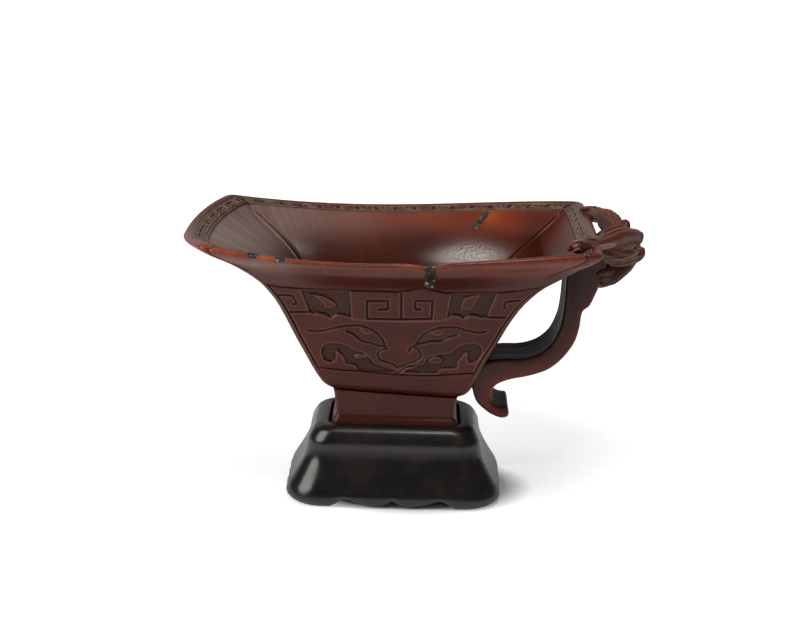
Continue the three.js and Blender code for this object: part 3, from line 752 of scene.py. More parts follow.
class HORNCUP_OT_stand(bpy.types.Operator):
    """Make the wooden stand with its recess, scalloped apron and hollow underside"""
    bl_idname = "horncup.stand"
    bl_label = "Wooden stand"

    # The apron's edge: share of the way from its middle to the foot, and height over the table.
    SCALLOP = spline([[0, 2.3], [0.1, 0.9], [0.26, 0.2], [0.4, 0.35], [0.56, 1.25], [0.77, 2.5],
                      [0.93, 0.8], [1, 0]], 100)
    OUTSIDE_ROWS = 92
    SHOULDER_ROWS = 24
    RECESS_ROWS = 16
    # Height over which the scallops fade out, on the inside and on the outside of the apron.
    INNER_FADE = 3.6
    OUTER_FADE = 6.0
    # The shoulder is worn dull to the right of this x, and the change takes this length.
    WORN_FROM_X = -26
    WORN_CHANGE = 8

    def execute(self, context):
        below = self.underside() + self.outside()
        rings = np.stack(below + self.recess())
        # The shoulder and the edge round the recess are worn dull, but for the left end.
        worn = np.zeros(rings.shape[:2])
        shoulder = len(below) - self.SHOULDER_ROWS
        worn[shoulder:] = rise(rings[shoulder:, :, 0], self.WORN_FROM_X, self.WORN_CHANGE)
        worn[shoulder:len(below)] *= np.linspace(0, 1, self.SHOULDER_ROWS)[:, None]
        piece = make_piece("stand_body", with_hubs(rings), closed_tube_faces(*rings.shape[:2]),
                           {"worn": worn}, hubs=2)
        finish_piece(piece, "stand", "stand_wood", lacquer_material(), "wooden_stand")
        return {"FINISHED"}

    def arch(self, ring):
        """How high the apron's edge stands over the table at each point of a ring."""
        x, y = np.abs(ring[:, 0]), np.abs(ring[:, 1])
        half_length, half_depth = NECK_HALF_LENGTH + BASE_SPREAD, NECK_HALF_DEPTH + BASE_DEPTH_SPREAD
        long_side = (half_depth - y) < (half_length - x)
        height = np.zeros(len(ring))
        for on_side, u, reach in ((long_side, x, half_length - APRON_FOOT_LENGTH),
                                  (~long_side, y, half_depth - APRON_FOOT_LENGTH * 0.85)):
            height = np.where(on_side, np.interp(u / reach, *self.SCALLOP.T, right=0), height)
        return np.maximum(height, 0)

    def lifted(self, ring, fade):
        z = ring[:, 2]
        ring[:, 2] = z + self.arch(ring) * np.clip(1 - z / fade, 0, 1)
        return ring

    def underside(self):
        """From the middle of the hollow out to the apron's lower edge."""
        deep = UNDERSIDE_DEPTH
        rows = [[12.0, deep - 0.1], [4.0, deep], [1.5, deep], [0.4, 4.4], [0, 3.6], [0, 1.8], [0, 0]]
        rings = []
        for inset, z in rows:
            ring = rounded_ring(
                NECK_HALF_LENGTH + BASE_SPREAD - APRON_THICKNESS - inset,
                NECK_HALF_DEPTH + BASE_DEPTH_SPREAD - APRON_THICKNESS - inset,
                max(STAND_CORNER_RADIUS - 3 - inset * 0.4, 1), z)
            rings.append(self.lifted(ring, self.INNER_FADE))
        return rings

    def outside(self):
        """From the table up: height, how far the foot spreads, and how far the shoulder turns in."""
        top = STAND_HEIGHT
        rows = spline([[0, 0.5, 0], [0.5, 0.75, 0], [1.8, 0.94, 0], [3.2, 1, 0], [top * 0.21, 0.9, 0],
                       [top * 0.3, 0.71, 0], [top * 0.43, 0.44, 0], [top * 0.58, 0.17, 0],
                       [top * 0.7, 0.05, 0], [top - 5.4, 0, 0], [top - 3.6, 0, 0.7],
                       [top - 1.5, 0, 2.0], [top - 0.4, 0, 3.4], [top, 0, 4.6]], self.OUTSIDE_ROWS)
        rings = []
        for z, out, turn in rows:
            ring = rounded_ring(
                NECK_HALF_LENGTH + BASE_SPREAD * out - turn,
                NECK_HALF_DEPTH + BASE_DEPTH_SPREAD * out - turn * 0.75,
                STAND_CORNER_RADIUS - 1.5 + 4.0 * out - turn * 0.2, min(z, top))
            rings.append(self.lifted(ring, self.OUTER_FADE))
        return rings

    def recess(self):
        """From the recess's edge down: how far its wall flares, and how far below the top."""
        rows = spline([[0.4, 0], [0.1, 0.25], [0, 0.7], [0, 2.4], [0, RECESS_DEPTH - 0.15],
                       [-0.3, RECESS_DEPTH]], self.RECESS_ROWS)
        return [rounded_ring(FOOT_HALF_LENGTH + SEAT_CLEARANCE + flare,
                             FOOT_HALF_DEPTH + SEAT_CLEARANCE + flare,
                             FOOT_CORNER_RADIUS + SEAT_CLEARANCE + flare,
                             STAND_HEIGHT - min(drop, RECESS_DEPTH)) for flare, drop in rows]


# Bowl

class HORNCUP_OT_bowl(bpy.types.Operator):
    """Make the cup's foot, its outside with sunk panels, rolled lip, fret ground and inside"""
    bl_idname = "horncup.bowl"
    bl_label = "Foot and bowl"

    TONES = ("thin", "amber", "bloom", "dust", "line", "edge", "matt", "shine")
    FOOT_ROWS = 34
    SKIRT_ROWS = 12
    PANEL_ROWS = 16
    LIP_ROWS = 40
    BAND_ROWS = 9
    WALL_ROWS = 44
    BEND_ROWS = 20
    SMOOTHING_ROUNDS = 60
    # Across a corner, from 0 in its middle to 1: where its flat strip's edge lies, and where the cut
    # beside it begins. The cut is shallower where no panel lies beside it.
    STRIP_EDGE = 0.58
    CUT_START = 0.7
    CUT_DEPTH = 0.6
    PLAIN_CUT_DEPTH = 0.25
    # Steps down into the ground behind a panel: how far inside its edge, and how deep.
    EDGE_STEPS = ((-0.25, 0.0), (-0.12, 0.4), (0.0, 0.8))
    LIP_BASE = 39.6
    # How much thicker than the CAD's wall the inside is, behind the sunk panels.
    BACKING = 1.9
    # Height over the floor at which the inner walls begin to bend round into it.
    FLOOR_BEND = 9.0
    FLOOR_HALF_LENGTH = 8.0

    def execute(self, context):
        self.rows = []
        self.foot()
        self.outside(context.scene.horn_cup_sizes)
        self.inside(context.scene.horn_cup_sizes)
        rings = np.stack([row["ring"] for row in self.rows])
        # The inside has no knee where the lip begins to flare.
        inner = np.nonzero([row.get("inner", -1.0) > 0.02 for row in self.rows])[0]
        first, last = inner[0], inner[-1]
        for _ in range(self.SMOOTHING_ROUNDS):
            rings[first:last] = (rings[first - 1:last - 1] + 2 * rings[first:last]
                                 + rings[first + 1:last + 1]) / 4
        rings = rings + grid_normals(rings, True) * self.gathered("push")[..., None]
        tones = {tone: self.gathered(tone).copy() for tone in self.TONES}
        self.colour_by_place(rings, tones)
        # Fibres run down the cup: across is measured round the rim, along from row to row.
        widest = rings[np.argmax(np.ptp(rings[..., 0], axis=1))]
        across = np.r_[0, np.cumsum(np.linalg.norm(np.diff(widest, axis=0), axis=1))]
        along = np.r_[0, np.cumsum(np.linalg.norm(np.diff(rings, axis=0), axis=2).mean(1))]
        uv = np.stack(np.meshgrid(across, along), -1).reshape(-1, 2)
        uv = np.concatenate([uv, np.zeros((2, 2))])
        piece = make_piece("bowl_shell", with_hubs(rings), closed_tube_faces(*rings.shape[:2]), tones, uv,
                           hubs=2)
        finish_piece(piece, "cup", "horn", horn_material(), "horn_cup")
        return {"FINISHED"}

    def add_row(self, level, push=0.0, **tones):
        self.rows.append({"ring": bowl_ring(level), "push": push, **tones})

    def gathered(self, key):
        """One value for each point of every row, 0 where a row doesn't say."""
        return np.stack([np.broadcast_to(row.get(key, 0.0), len(RING_SIDE)) for row in self.rows])

    def foot(self):
        """The foot, from how far out it stands between waist and bead, and height over the seat."""
        rows = spline([[0.45, 0], [0.9, 0.7], [1, 2.2], [1, 3.9], [0.7, 5.2], [0.1, 6.4], [0, 8.0],
                       [0.3, 11.4], [0.8, 14.5], [0.8, 14.8], [0.3, 15.1], [0.3, 15.4]], self.FOOT_ROWS)
        for out, z in rows:
            half = FOOT_HALF_LENGTH - FOOT_WAIST * (1 - out)
            depth = FOOT_HALF_DEPTH - FOOT_WAIST * (1 - out)
            # The top of the foot, under the bowl's overhanging base, is painted dark: a painted shadow.
            self.add_row(flat_level(half, max(z, 0) - FOOT_HEIGHT, depth),
                         line=0.75 * rise(z, 14.6, 0.5))

    def outside(self, sizes):
        """From the foot up: the plain skirt, the sunk ground behind the panels, and the lip."""
        across = np.abs(RING_CORNER)
        on_corner = across <= 1
        # Across each corner: a flat strip, and a cut beside each carved panel. The cuts are painted dark,
        # painted shade, and the strip's edges lighter, a painted highlight.
        cut_share = rise(across, self.CUT_START, 0.16)
        cut = self.CUT_DEPTH * cut_share - 0.1 * bump(across - 0.55, 0.12)
        cut_tone = np.where(on_corner, cut_share * 0.8, 0)
        strip_edge = np.where(on_corner, bump(across - self.STRIP_EDGE, 0.12), 0)
        plain = np.where(on_corner, np.minimum(cut, self.PLAIN_CUT_DEPTH), 0)
        for share in np.linspace(0, 1, self.SKIRT_ROWS)[:-1]:
            fade = smooth(share * 3)
            # A dark line where the bowl's base overhangs the foot is painted shade.
            self.add_row(outer_level(lambda side, f, s=share: bottom_height(side, f) * s - 0.3 * s),
                         -plain * fade, line=cut_tone * 0.6 * fade + 0.6 * bump(share, 0.04),
                         edge=strip_edge * 0.5 * fade)
        for inward, depth in self.EDGE_STEPS:
            # Each step down into the ground is painted darker the deeper it is, painted shade; the
            # shallowest gets a painted highlight.
            self.add_row(outer_level(lambda side, f, i=inward: bottom_height(side, f) + i),
                         -np.where(on_corner, cut, depth), line=np.where(on_corner, cut_tone, depth),
                         edge=np.where(on_corner, strip_edge, 0.35 * (depth == 0)))
        for share in np.linspace(0, 1, self.PANEL_ROWS):
            self.add_row(outer_level(lambda side, f, s=share: bottom_height(side, f) + 0.1 + s * (
                register_height(side, f) - bottom_height(side, f) - 0.2)),
                         -np.where(on_corner, cut, sizes.panel_inset / MM), line=cut_tone, edge=strip_edge)
        for inward, depth in reversed(self.EDGE_STEPS):
            # Going back up, the steps are again painted darker the deeper they are, painted shade.
            self.add_row(outer_level(lambda side, f, i=inward: register_height(side, f) - i),
                         -np.where(on_corner, cut, depth), line=np.where(on_corner, cut_tone, depth))
        self.lip(plain, cut_tone, strip_edge)

    def lip(self, plain, cut_tone, strip_edge):
        """The flaring lip. A cut runs down it near each end of a long side."""
        on_long = (RING_SIDE % 2 == 0) & (np.abs(RING_CORNER) > 1)
        from_left = np.where(RING_SIDE == 0, RING_SHARE, 1 - RING_SHARE)
        curve = RIB[RIB[:, 1] > self.LIP_BASE]
        run = np.r_[0, np.cumsum(np.hypot(*np.diff(curve, axis=0).T))]
        low = curve[0, 1]
        for share in np.linspace(0, 1, self.LIP_ROWS)[1:]:
            up = (np.interp(share * run[-1], run, curve[:, 1]) - low) / (BOWL_HEIGHT - low)
            fade = 1 - smooth(share * 2.2)
            # Distances from the two cuts, along the side.
            length = 2 * rib_half(self.LIP_BASE + share * 16) - 3
            left = from_left * length - 0.6 - 0.8 * rise(share, 0.85, 0.15)
            right = (1 - from_left) * length - 3.0 - 3.5 * (1 - share) ** 2
            end_cut = (bump(left, 0.5) + bump(right, 0.5)) * on_long * rise(share, 0.25, 0.2)
            end_cut = end_cut * (1 - 0.4 * rise(share, 0.9, 0.1))
            beyond = on_long * (smooth(-left) + smooth(-right)) * rise(share, 0.4, 0.2)
            beside = on_long * (bump(left - 1.0, 0.4) + bump(right - 1.0, 0.4)) * rise(share, 0.3, 0.2)
            # The cuts are painted dark, painted shade, the lip beyond them is darker, and a painted
            # highlight runs beside them.
            self.add_row(outer_level(lambda side, f, u=up: register_height(side, f) + 0.3 + u * (
                BOWL_HEIGHT - register_height(side, f) - 0.3)),
                         -plain * fade - 0.6 * end_cut, outer_lip=share,
                         line=np.clip(cut_tone * 0.5 * fade + 0.8 * end_cut + 0.3 * beyond, 0, 1),
                         edge=np.clip(strip_edge * 0.5 * fade + 0.5 * beside, 0, 1))

    def inside(self, sizes):
        """From the rim's rolled edge over the fret ground, and down the wall to the floor."""
        rim, top = RIM_HALF_LENGTH, BOWL_HEIGHT
        # The rolled edge gets a faint painted highlight; the dark line at the fret's outer edge and the
        # fret's ground are painted shade.
        for inset, lift in RIM_ROLL[1:]:
            self.add_row(flat_level(rim - inset, top + lift), edge=0.12)
        self.add_row(flat_level(rim - FRET_BORDER, top - 0.6), line=0.9)
        for share in np.linspace(0.03, 1, self.BAND_ROWS):
            self.add_row(flat_level(rim - FRET_BORDER - 0.02 - FRET_WIDTH * share,
                                    top - GROUND_DROP - GROUND_FALL * share), dust=0.3, line=0.7)
        band_edge = rim - BORDER_WIDTH - BAND_WIDTH
        self.add_row(flat_level(band_edge - 0.1, INNER_TOP + 0.35), dust=0.4, line=0.4)
        # A ridge with a groove beside it runs down each corner. The groove is painted dark, painted shade,
        # and the ridge lighter, a painted highlight.
        across = np.abs(RING_CORNER)
        ridge = np.where(across <= 1, bump(across - 0.6, 0.22), 0)
        groove = np.where(across <= 1, bump(across, 0.24), 0)
        relief = sizes.ridge_relief / MM * (ridge - groove * 0.8)
        bend_height = FLOOR_THICKNESS + self.FLOOR_BEND
        for share in np.linspace(0, 1, self.WALL_ROWS):
            height = INNER_TOP - (INNER_TOP - bend_height) * share
            half = min(rib_half(height) - WALL, band_edge - 0.4 - 0.55 * (INNER_TOP - height))
            half -= self.BACKING * smooth(share * 2.5)
            self.add_row(flat_level(half, height), relief * smooth(share * 16),
                         inner=share, line=groove * 0.6, edge=ridge * 0.5)
        # The walls bend round into the floor.
        start = np.array([half, bend_height])
        corner = np.array([half - 0.2 * self.FLOOR_BEND, FLOOR_THICKNESS + 0.2])
        end = np.array([self.FLOOR_HALF_LENGTH, FLOOR_THICKNESS + 0.05])
        for t in np.linspace(0, 1, self.BEND_ROWS)[1:]:
            half, height = (1 - t) ** 2 * start + 2 * t * (1 - t) * corner + t * t * end
            fade = smooth(1 - t * 1.6)
            self.add_row(flat_level(half, height), relief * fade,
                         inner=1.0, line=groove * 0.6 * fade, edge=ridge * 0.5 * fade)

    def colour_by_place(self, rings, tones):
        """Adds the colours that the horn shows in places, with painted shade, highlights and sheen among
        them, and keeps every tone between 0 and 1.
        """
        x, y, z = rings[..., 0] - CARVING_ZERO_X, rings[..., 1], rings[..., 2]
        lip, inner = (np.array([row.get(key, -1.0) for row in self.rows])[:, None]
                      for key in ("outer_lip", "inner"))
        self.colour_lip(tones, x, y, z, lip, inner)
        self.colour_inside(tones, x, y, z, inner >= 0)
        # The outside is darker towards the bottom of the foot.
        tones["line"] += 0.3 * fall(z, SEAT_Z + 14, 12) * (lip < 0) * (inner < 0)
        for tone in tones:
            tones[tone] = np.clip(tones[tone], 0, 1)

    def colour_lip(self, tones, x, y, z, lip, inner):
        """The outside of the lip, by share of its height: a red crest, painted as lit through the thin horn,
        amber, a greyish film and painted sheen on its face, and painted shade in the hollow under it.
        """
        on_lip = lip >= 0
        front = smooth(-y / 10)
        front_lip = on_lip * front
        # Uneven streaks run down the lip.
        streak = 0.5 + 0.5 * np.sin(x * 1.9 + 1.3 * np.sin(x * 0.53)) * np.sin(x * 0.71 + 2)
        crest = rise(lip, 0.62, 0.4) * on_lip
        tones["thin"] += crest * (0.3 + 0.55 * front)
        tones["thin"] += front_lip * rise(lip, 0.25, 0.35) * (0.3 + 0.2 * rise(x, -20, 50))
        tones["thin"] += front_lip * rise(x, 18, 15) * 0.2
        glow = 0.9 * bump(x + 39.5, 3.4) + (0.3 + 0.3 * streak) * bump(x + 54, 8)
        tones["amber"] += crest * front * glow * 0.9
        on_top = (lip >= 0.93) | ((np.abs(z - RIM_Z) < 3) & (lip < 0) & (inner < 0))
        tones["amber"] += on_top * front * bump(x - 7.0, 3.6)
        smear = bump(x + 43.2, 2.2) + 0.8 * bump(x + 34, 2.0)
        under_edge = fall(lip, 0.98, 0.05) * rise(lip, 0.45, 0.3)
        tones["bloom"] += front_lip * smear * under_edge * 0.6
        # The face between hollow and edge is greyish, most of all in the middle: a painted sheen.
        face = rise(lip, 0.42, 0.12) * fall(lip, 0.93, 0.05) * front_lip
        tones["edge"] += face * (0.2 + 0.15 * smooth(1.2 - np.abs(x - 5) / 40))
        tones["bloom"] += face * (0.4 + 0.15 * streak) * smooth(1.3 - np.abs(x) / 40)
        tones["thin"] += face * 0.2 * rise(x, 10, 20)
        tones["line"] += rise(lip, 0.9, 0.04) * front * 0.35 * rise(x, -25, 15)
        # The hollow under the lip is painted darker, in uneven patches: painted shade.
        tones["line"] += bump(lip - 0.25, 0.14) * front_lip * (0.2 + 0.3 * streak)
        left = fall(x, -18, 22)
        tones["bloom"] += front_lip * left * 0.08
        tones["thin"] += front_lip * left * 0.25

    def colour_inside(self, tones, x, y, z, on_wall):
        """The inside: amber and red high on the rear wall, one glossy patch, painted shade low down, and
        rays of a greyish film with painted sheen.
        """
        rear = on_wall * smooth(y / 12)
        high = rear * rise(z, 81.5, 6)
        # Amber patches near the fill, in the middle and to the left, highest at the top.
        patches = 0.75 * bump(x - 33.0, 3.2) * rise(x, 30, 1.5) * rise(z, 84, 4)
        patches += 0.2 * bump(x - 36, 9) + 0.15 * bump(x - 12, 10)
        patches += (0.4 * bump(x + 19, 5) + 0.4 * bump(x - 9, 7)) * rise(z, 87.5, 3)
        tones["amber"] += high * patches * 0.48
        tones["thin"] += high * 0.4 * rise(x, -35, 25)
        # Low down, and towards the handle, the inside is painted darker: painted shade deep in the bowl.
        low = 0.55 * fall(z, 86.5, 9) + 0.5 * rise(x, 40, 10) * fall(z, 96, 10)
        tones["line"] += on_wall * low
        # The polish survives in one patch low on the rear wall; elsewhere the inside is dull.
        shine = bump(x - 25.5, 9.0) * bump(z - 76.5, 5.0) * smooth(y / 12)
        tones["shine"] += on_wall * shine
        tones["matt"] += on_wall * (1 - shine) * rise(x, -45, 20) * (0.45 + 0.55 * fall(z, 86, 5))
        # Rays of a greyish film and painted sheen fan out over the spout's wall.
        fan = (y / np.maximum(np.abs(x + 20), 8)) * 16
        rays = 0.5 + 0.5 * np.sin(fan * 2.2 + 1) * np.sin(fan * 0.9)
        left = fall(x, -20, 25)
        tones["bloom"] += on_wall * left * (0.5 + 0.5 * rays) * rise(z, 70, 10)
        # The greyish film with painted sheen also lies on the rear wall: high up, and low down away from the
        # glossy patch.
        tones["bloom"] += rear * (0.45 * bump(x + 22, 16) + 0.12 * bump(x - 8, 16)) * rise(z, 74, 10)
        tones["bloom"] += rear * 0.12 * fall(z, 84, 8) * (1 - shine)


# Carved panels

# Outlines of the hatched ground, and of what stands raised in it: x and height over the table.
UPPER_GROUND = [
    [[-29.8, 76.7], [-27.2, 68.5], [-25.8, 67.8], [-24.6, 68.2], [-22.1, 67.6], [-20.2, 66.4],
     [-18.3, 67.9], [-16.4, 67.8], [-13.6, 67], [-14.1, 76.6]],
    [[19.0, 76.4], [17.8, 67.2], [19.4, 68.4], [21.6, 68.4], [23.2, 67.2], [25, 68.5], [27.2, 68.5],
     [28.8, 67.8], [30.6, 68.1], [33.4, 76.9]],
]
JAW_GROUND = [
    [[-23.5, 53], [-23.2, 54.9], [-21.6, 56.6], [-19.1, 56.9], [-16.5, 56.6], [-14.3, 55.6],
     [-12.1, 54.2], [-9.6, 53.5], [-8, 52.1], [-7, 50.3], [-5.8, 48.9], [-2.6, 47.8], [0.6, 46.5],
     [-10.2, 46.5], [-12.1, 48.5], [-13.7, 49.2], [-15.3, 49.5], [-15.9, 51.1], [-16.9, 52.9],
     [-18.1, 54], [-18.9, 53.6], [-18.8, 52.1], [-19.1, 50.6], [-20.1, 49.7], [-21.7, 50],
     [-22.9, 50.9]],
    [[29.6, 54.4], [29.2, 56.2], [27.6, 57.5], [25, 57.8], [22.5, 56.9], [20.4, 55], [18.9, 53.9],
     [16.3, 53.5], [13.8, 53], [11.9, 52.3], [10.4, 49.7], [7.2, 48.1], [4.1, 46.6], [14.3, 46.3],
     [15.8, 47.9], [21.2, 48.6], [21.5, 50.6], [22.7, 52.5], [24.2, 54], [25.2, 54.3], [24.9, 52.1],
     [25.9, 50.5], [27.8, 51.1]],
]
LEAVES = [
    [[-27.2, 75], [-24.4, 75], [-21.6, 74.1], [-19.5, 72.7], [-18.4, 71.1], [-19.9, 70.2],
     [-21.7, 70.3], [-22.9, 71.9], [-24.5, 73.7], [-26.3, 74.9]],
    [[23.2, 75], [26.2, 76.2], [29.6, 76.5], [27.8, 75.4], [26.4, 72.1], [24.9, 70.4], [22.4, 70.6],
     [21.9, 71.3], [22.6, 73.9]],
    [[-12.9, 52.1], [-10.8, 53.1], [-8.6, 53], [-8, 52.3], [-9.6, 51.5], [-12.1, 51.2]],
    [[11.9, 51.5], [14.1, 52.9], [16, 52.3], [16.4, 50.9], [14.5, 49.9], [12, 50.4]],
]
# Lids of the two eyes: the upper ones from the outer corner in, the lower ones back out again.
LEFT_UPPER_LID = [[-17.7, 63.1], [-15.2, 63.7], [-12.1, 64], [-9.6, 63.7], [-7.1, 62.7], [-4.9, 61],
                  [-3.3, 58.8], [-2.3, 56.3]]
LEFT_LOWER_LID = [[-2.9, 57], [-6.1, 58.2], [-8.9, 59.2], [-11.1, 59], [-12.1, 60], [-14.3, 61]]
RIGHT_UPPER_LID = [[23.9, 63], [21.1, 63.9], [17.9, 63.9], [14.8, 63.6], [11.7, 62.1], [9.6, 60.2],
                   [7.9, 57.5]]
RIGHT_LOWER_LID = [[8, 57.3], [10.2, 57.9], [13.1, 58.7], [16.2, 58.8], [18.7, 60.2], [21.2, 61.2]]
EYES = [LEFT_UPPER_LID + LEFT_LOWER_LID, RIGHT_UPPER_LID + RIGHT_LOWER_LID]
PUPILS = [[-8.7, 62.3], [14.3, 62.3]]
PUPIL_RADIUS = 1.9
# Cut lines with sharp turns.
SPIRAL_CUTS = [
    [[-37.2, 74.6], [-32.6, 74.5], [-31.2, 71.4], [-32.6, 71.1]],
    [[41, 74.5], [36.7, 73.9], [36.1, 71.7], [36.5, 71.5]],
    [[-33.5, 68.2], [-27.4, 68.5]],
    [[36.9, 67.9], [30.8, 68]],
    [[-4.6, 70.1], [-1.6, 70.3], [-1.6, 73.5], [-8.4, 73.2], [-8.3, 66.5], [2.8, 66.7], [2.75, 76.6]],
    [[9.1, 70.5], [7.3, 70.6], [7.2, 73.7], [12.9, 73.9], [12.7, 67.1], [2.9, 66.7]],
]
# Cut lines that curve: along the lids, and round the nose and the jaw.
FACE_CUTS = [
    [[-27.8, 61.6], [-25.3, 61.4], [-22.2, 61.8], [-19.6, 62.6], [-17.7, 63.1]],
    LEFT_UPPER_LID + [[-1.7, 55.4]],
    [[-15.2, 61.7], [-13, 60.7], [-11.5, 59.3], [-9.6, 58.1], [-7, 57.5], [-4.5, 56.6], [-2.6, 56.5]],
    [[30.8, 62.8], [29.3, 62.2], [27.4, 62.2], [25.8, 62.7], [23.9, 63]],
    RIGHT_UPPER_LID + [[6.8, 56.4]],
    RIGHT_LOWER_LID[::-1],
    [[-1.7, 55.4], [-2.9, 55.2], [-4.5, 54.1], [-4.7, 52.6], [-3.9, 51.1], [-1.6, 50.3], [0.3, 49.6],
     [1.6, 48.5], [3.8, 49.1], [5.7, 50.1]],
    [[5.6, 54.7], [6.5, 56.5], [8.4, 55.5], [9.4, 53.3], [8.5, 51.4], [6.6, 50.5], [3.4, 49.1]],
    [[-7.4, 51], [-6.4, 49.6], [-3.8, 48.5], [-0.3, 47.5], [1.6, 46.1], [2.8, 46.9], [5.6, 48.8],
     [8.8, 49.2], [10.4, 51.1]],
]
# Raised lines: under the two big spirals, and round the lower half of each pupil.
RAISED_LINES = [
    [[-13.2, 66.4], [-9.3, 65.9], [2.8, 65.7], [12.9, 66.1], [17.5, 66.7]],
    [[-10.3, 62.7], [-9.7, 61.6], [-8.3, 61.0], [-6.9, 61.3], [-6.1, 62.1]],
    [[12.6, 62.6], [13.2, 61.5], [14.4, 60.9], [15.8, 61.3], [16.8, 62.3]],
]
# How softly the ground's edges fall, and the depths and heights of the small forms.
GROUND_SOFTNESS = 0.32
EYE_DEPTH = 0.22
SHOULDER_HEIGHT = 0.1
RAISED_LINE_HEIGHT = 0.18
# Distances are only measured this near to a line, and this is given beyond.
NEAR = 3.0
FAR = 9.0


def distance_to(points, line, squeeze=1.0, closed=False):
    """Distance of each point from a line of straight stretches; x is narrowed by squeeze."""
    scale = np.array([squeeze, 1.0])
    p, q = points * scale, np.array(line, float) * scale
    if closed:
        q = np.concatenate([q, q[:1]])
    near = np.all((p > q.min(0) - NEAR) & (p < q.max(0) + NEAR), axis=1)
    best = np.full(len(p), FAR)
    p = p[near]
    found = np.full(len(p), FAR)
    for a, b in zip(q[:-1], q[1:]):
        ab = b - a
        t = np.clip(((p - a) @ ab) / max(ab @ ab, 1e-9), 0, 1)
        found = np.minimum(found, np.hypot(*(p - a - t[:, None] * ab).T))
    best[near] = found
    return best


def is_inside(points, outline):
    inside = np.zeros(len(points), bool)
    q = np.array(outline, float)
    for (ax, ay), (bx, by) in zip(q, np.roll(q, -1, 0)):
        crosses = (ay > points[:, 1]) != (by > points[:, 1])
        at = (bx - ax) * (points[:, 1] - ay) / ((by - ay) or 1e-9) + ax
        inside ^= crosses & (points[:, 0] < at)
    return inside


def signed_distance(points, outline, squeeze):
    away = distance_to(points, outline, squeeze, closed=True)
    return np.where(is_inside(points, outline), -away, away)


def curved(line, times=4):
    return spline(line, (len(line) - 1) * times + 1)


def nearest(points, lines, squeeze, measure=distance_to):
    """Distance of each point from the nearest of several lines or outlines."""
    return np.minimum.reduce([measure(points, line, squeeze) for line in lines])


def carve(points, sizes, squeeze):
    """Depth of the carving and its tones at each point, given as x and height over the table. The tones
    paint shade into the cuts and hollows and highlights onto the raised edges.
    """
    x, z = points.T
    ground = nearest(points, UPPER_GROUND + [curved(line) for line in JAW_GROUND], squeeze, signed_distance)
    leaves = nearest(points, [curved(line) for line in LEAVES], squeeze, signed_distance)
    ground = np.maximum(ground, -leaves)
    eyes = nearest(points, EYES, squeeze, signed_distance)
    pupils = np.minimum.reduce([np.hypot((x - px) * squeeze, z - pz) for px, pz in PUPILS]) - PUPIL_RADIUS
    sharp_cuts = nearest(points, SPIRAL_CUTS, squeeze)
    cuts = np.minimum(sharp_cuts, nearest(points, [curved(line) for line in FACE_CUTS], squeeze))
    raised = nearest(points, RAISED_LINES, squeeze)
    cut_width = sizes.groove_width / MM * 0.55
    sharp, cut_share = bump(sharp_cuts, cut_width), bump(cuts, cut_width)
    ground_share = smooth(0.5 - ground / (2 * GROUND_SOFTNESS))
    eye_share = smooth(0.5 - eyes / 0.5) * (1 - smooth(0.5 - pupils / 0.4))
    # The hatching is cut by hand, so its lines wander a little.
    wander = 0.12 * np.sin(x * 0.9) + 0.08 * np.sin(x * 2.3 + 1)
    hatch = 0.5 + 0.5 * np.sin((z + wander) * 2 * np.pi / (sizes.hatch_pitch / MM))
    hatch_share = smooth(-ground / 0.5 - 0.2)
    shoulder = bump(cuts - 0.62, 0.17) * (1 - ground_share) + bump(ground - 0.36, 0.2)
    depth = sizes.carving_depth / MM * ground_share + EYE_DEPTH * eye_share
    depth += sizes.groove_depth / MM * cut_share + sizes.hatch_depth / MM * hatch_share * (1 - hatch)
    depth -= SHOULDER_HEIGHT * shoulder + RAISED_LINE_HEIGHT * bump(raised, 0.3)
    # At the foot of each raised edge a dark line is painted, painted shade that looks like a step cut in
    # with a knife.
    foot = bump(ground + 0.25, 0.22)
    # The cuts, the eyes, the hatch lines and the feet of the raised edges are painted dark, painted shade;
    # the shoulders and raised lines are painted lighter, a painted highlight.
    tones = {
        "dust": 0.7 * hatch_share * (0.25 + 0.75 * hatch) + 0.25 * eye_share,
        "line": np.clip(0.6 * cut_share + 0.3 * sharp + foot * 0.75 + 0.25 * eye_share
                        + 0.75 * hatch_share * (1 - hatch), 0, 1),
        "edge": np.clip(shoulder + bump(raised, 0.25), 0, 1),
    }
    return depth, tones


def slab(front, back):
    """A closed slab: a detailed face, its four sides, and a back drawn together in the middle."""
    rows, columns = front.shape[:2]
    index = np.arange(rows * columns).reshape(rows, columns)
    quads = np.stack([index[:-1, :-1], index[:-1, 1:], index[1:, 1:], index[1:, :-1]], -1)
    loop = np.r_[index[0, :-1], index[:-1, -1], index[-1, :0:-1], index[:0:-1, 0]]
    behind = rows * columns + np.arange(len(loop))
    hub = rows * columns + len(loop)
    following = np.roll(np.arange(len(loop)), -1)
    sides = np.stack([loop[following], loop, behind, behind[following]], -1)
    fan = np.stack([behind[following], behind, np.full(len(loop), hub)], -1)
    middle = back[rows // 2, columns // 2]
    points = np.concatenate([front.reshape(-1, 3), back.reshape(-1, 3)[loop], [middle]])
    return points, quads.reshape(-1, 4).tolist() + sides.tolist() + fan.tolist()


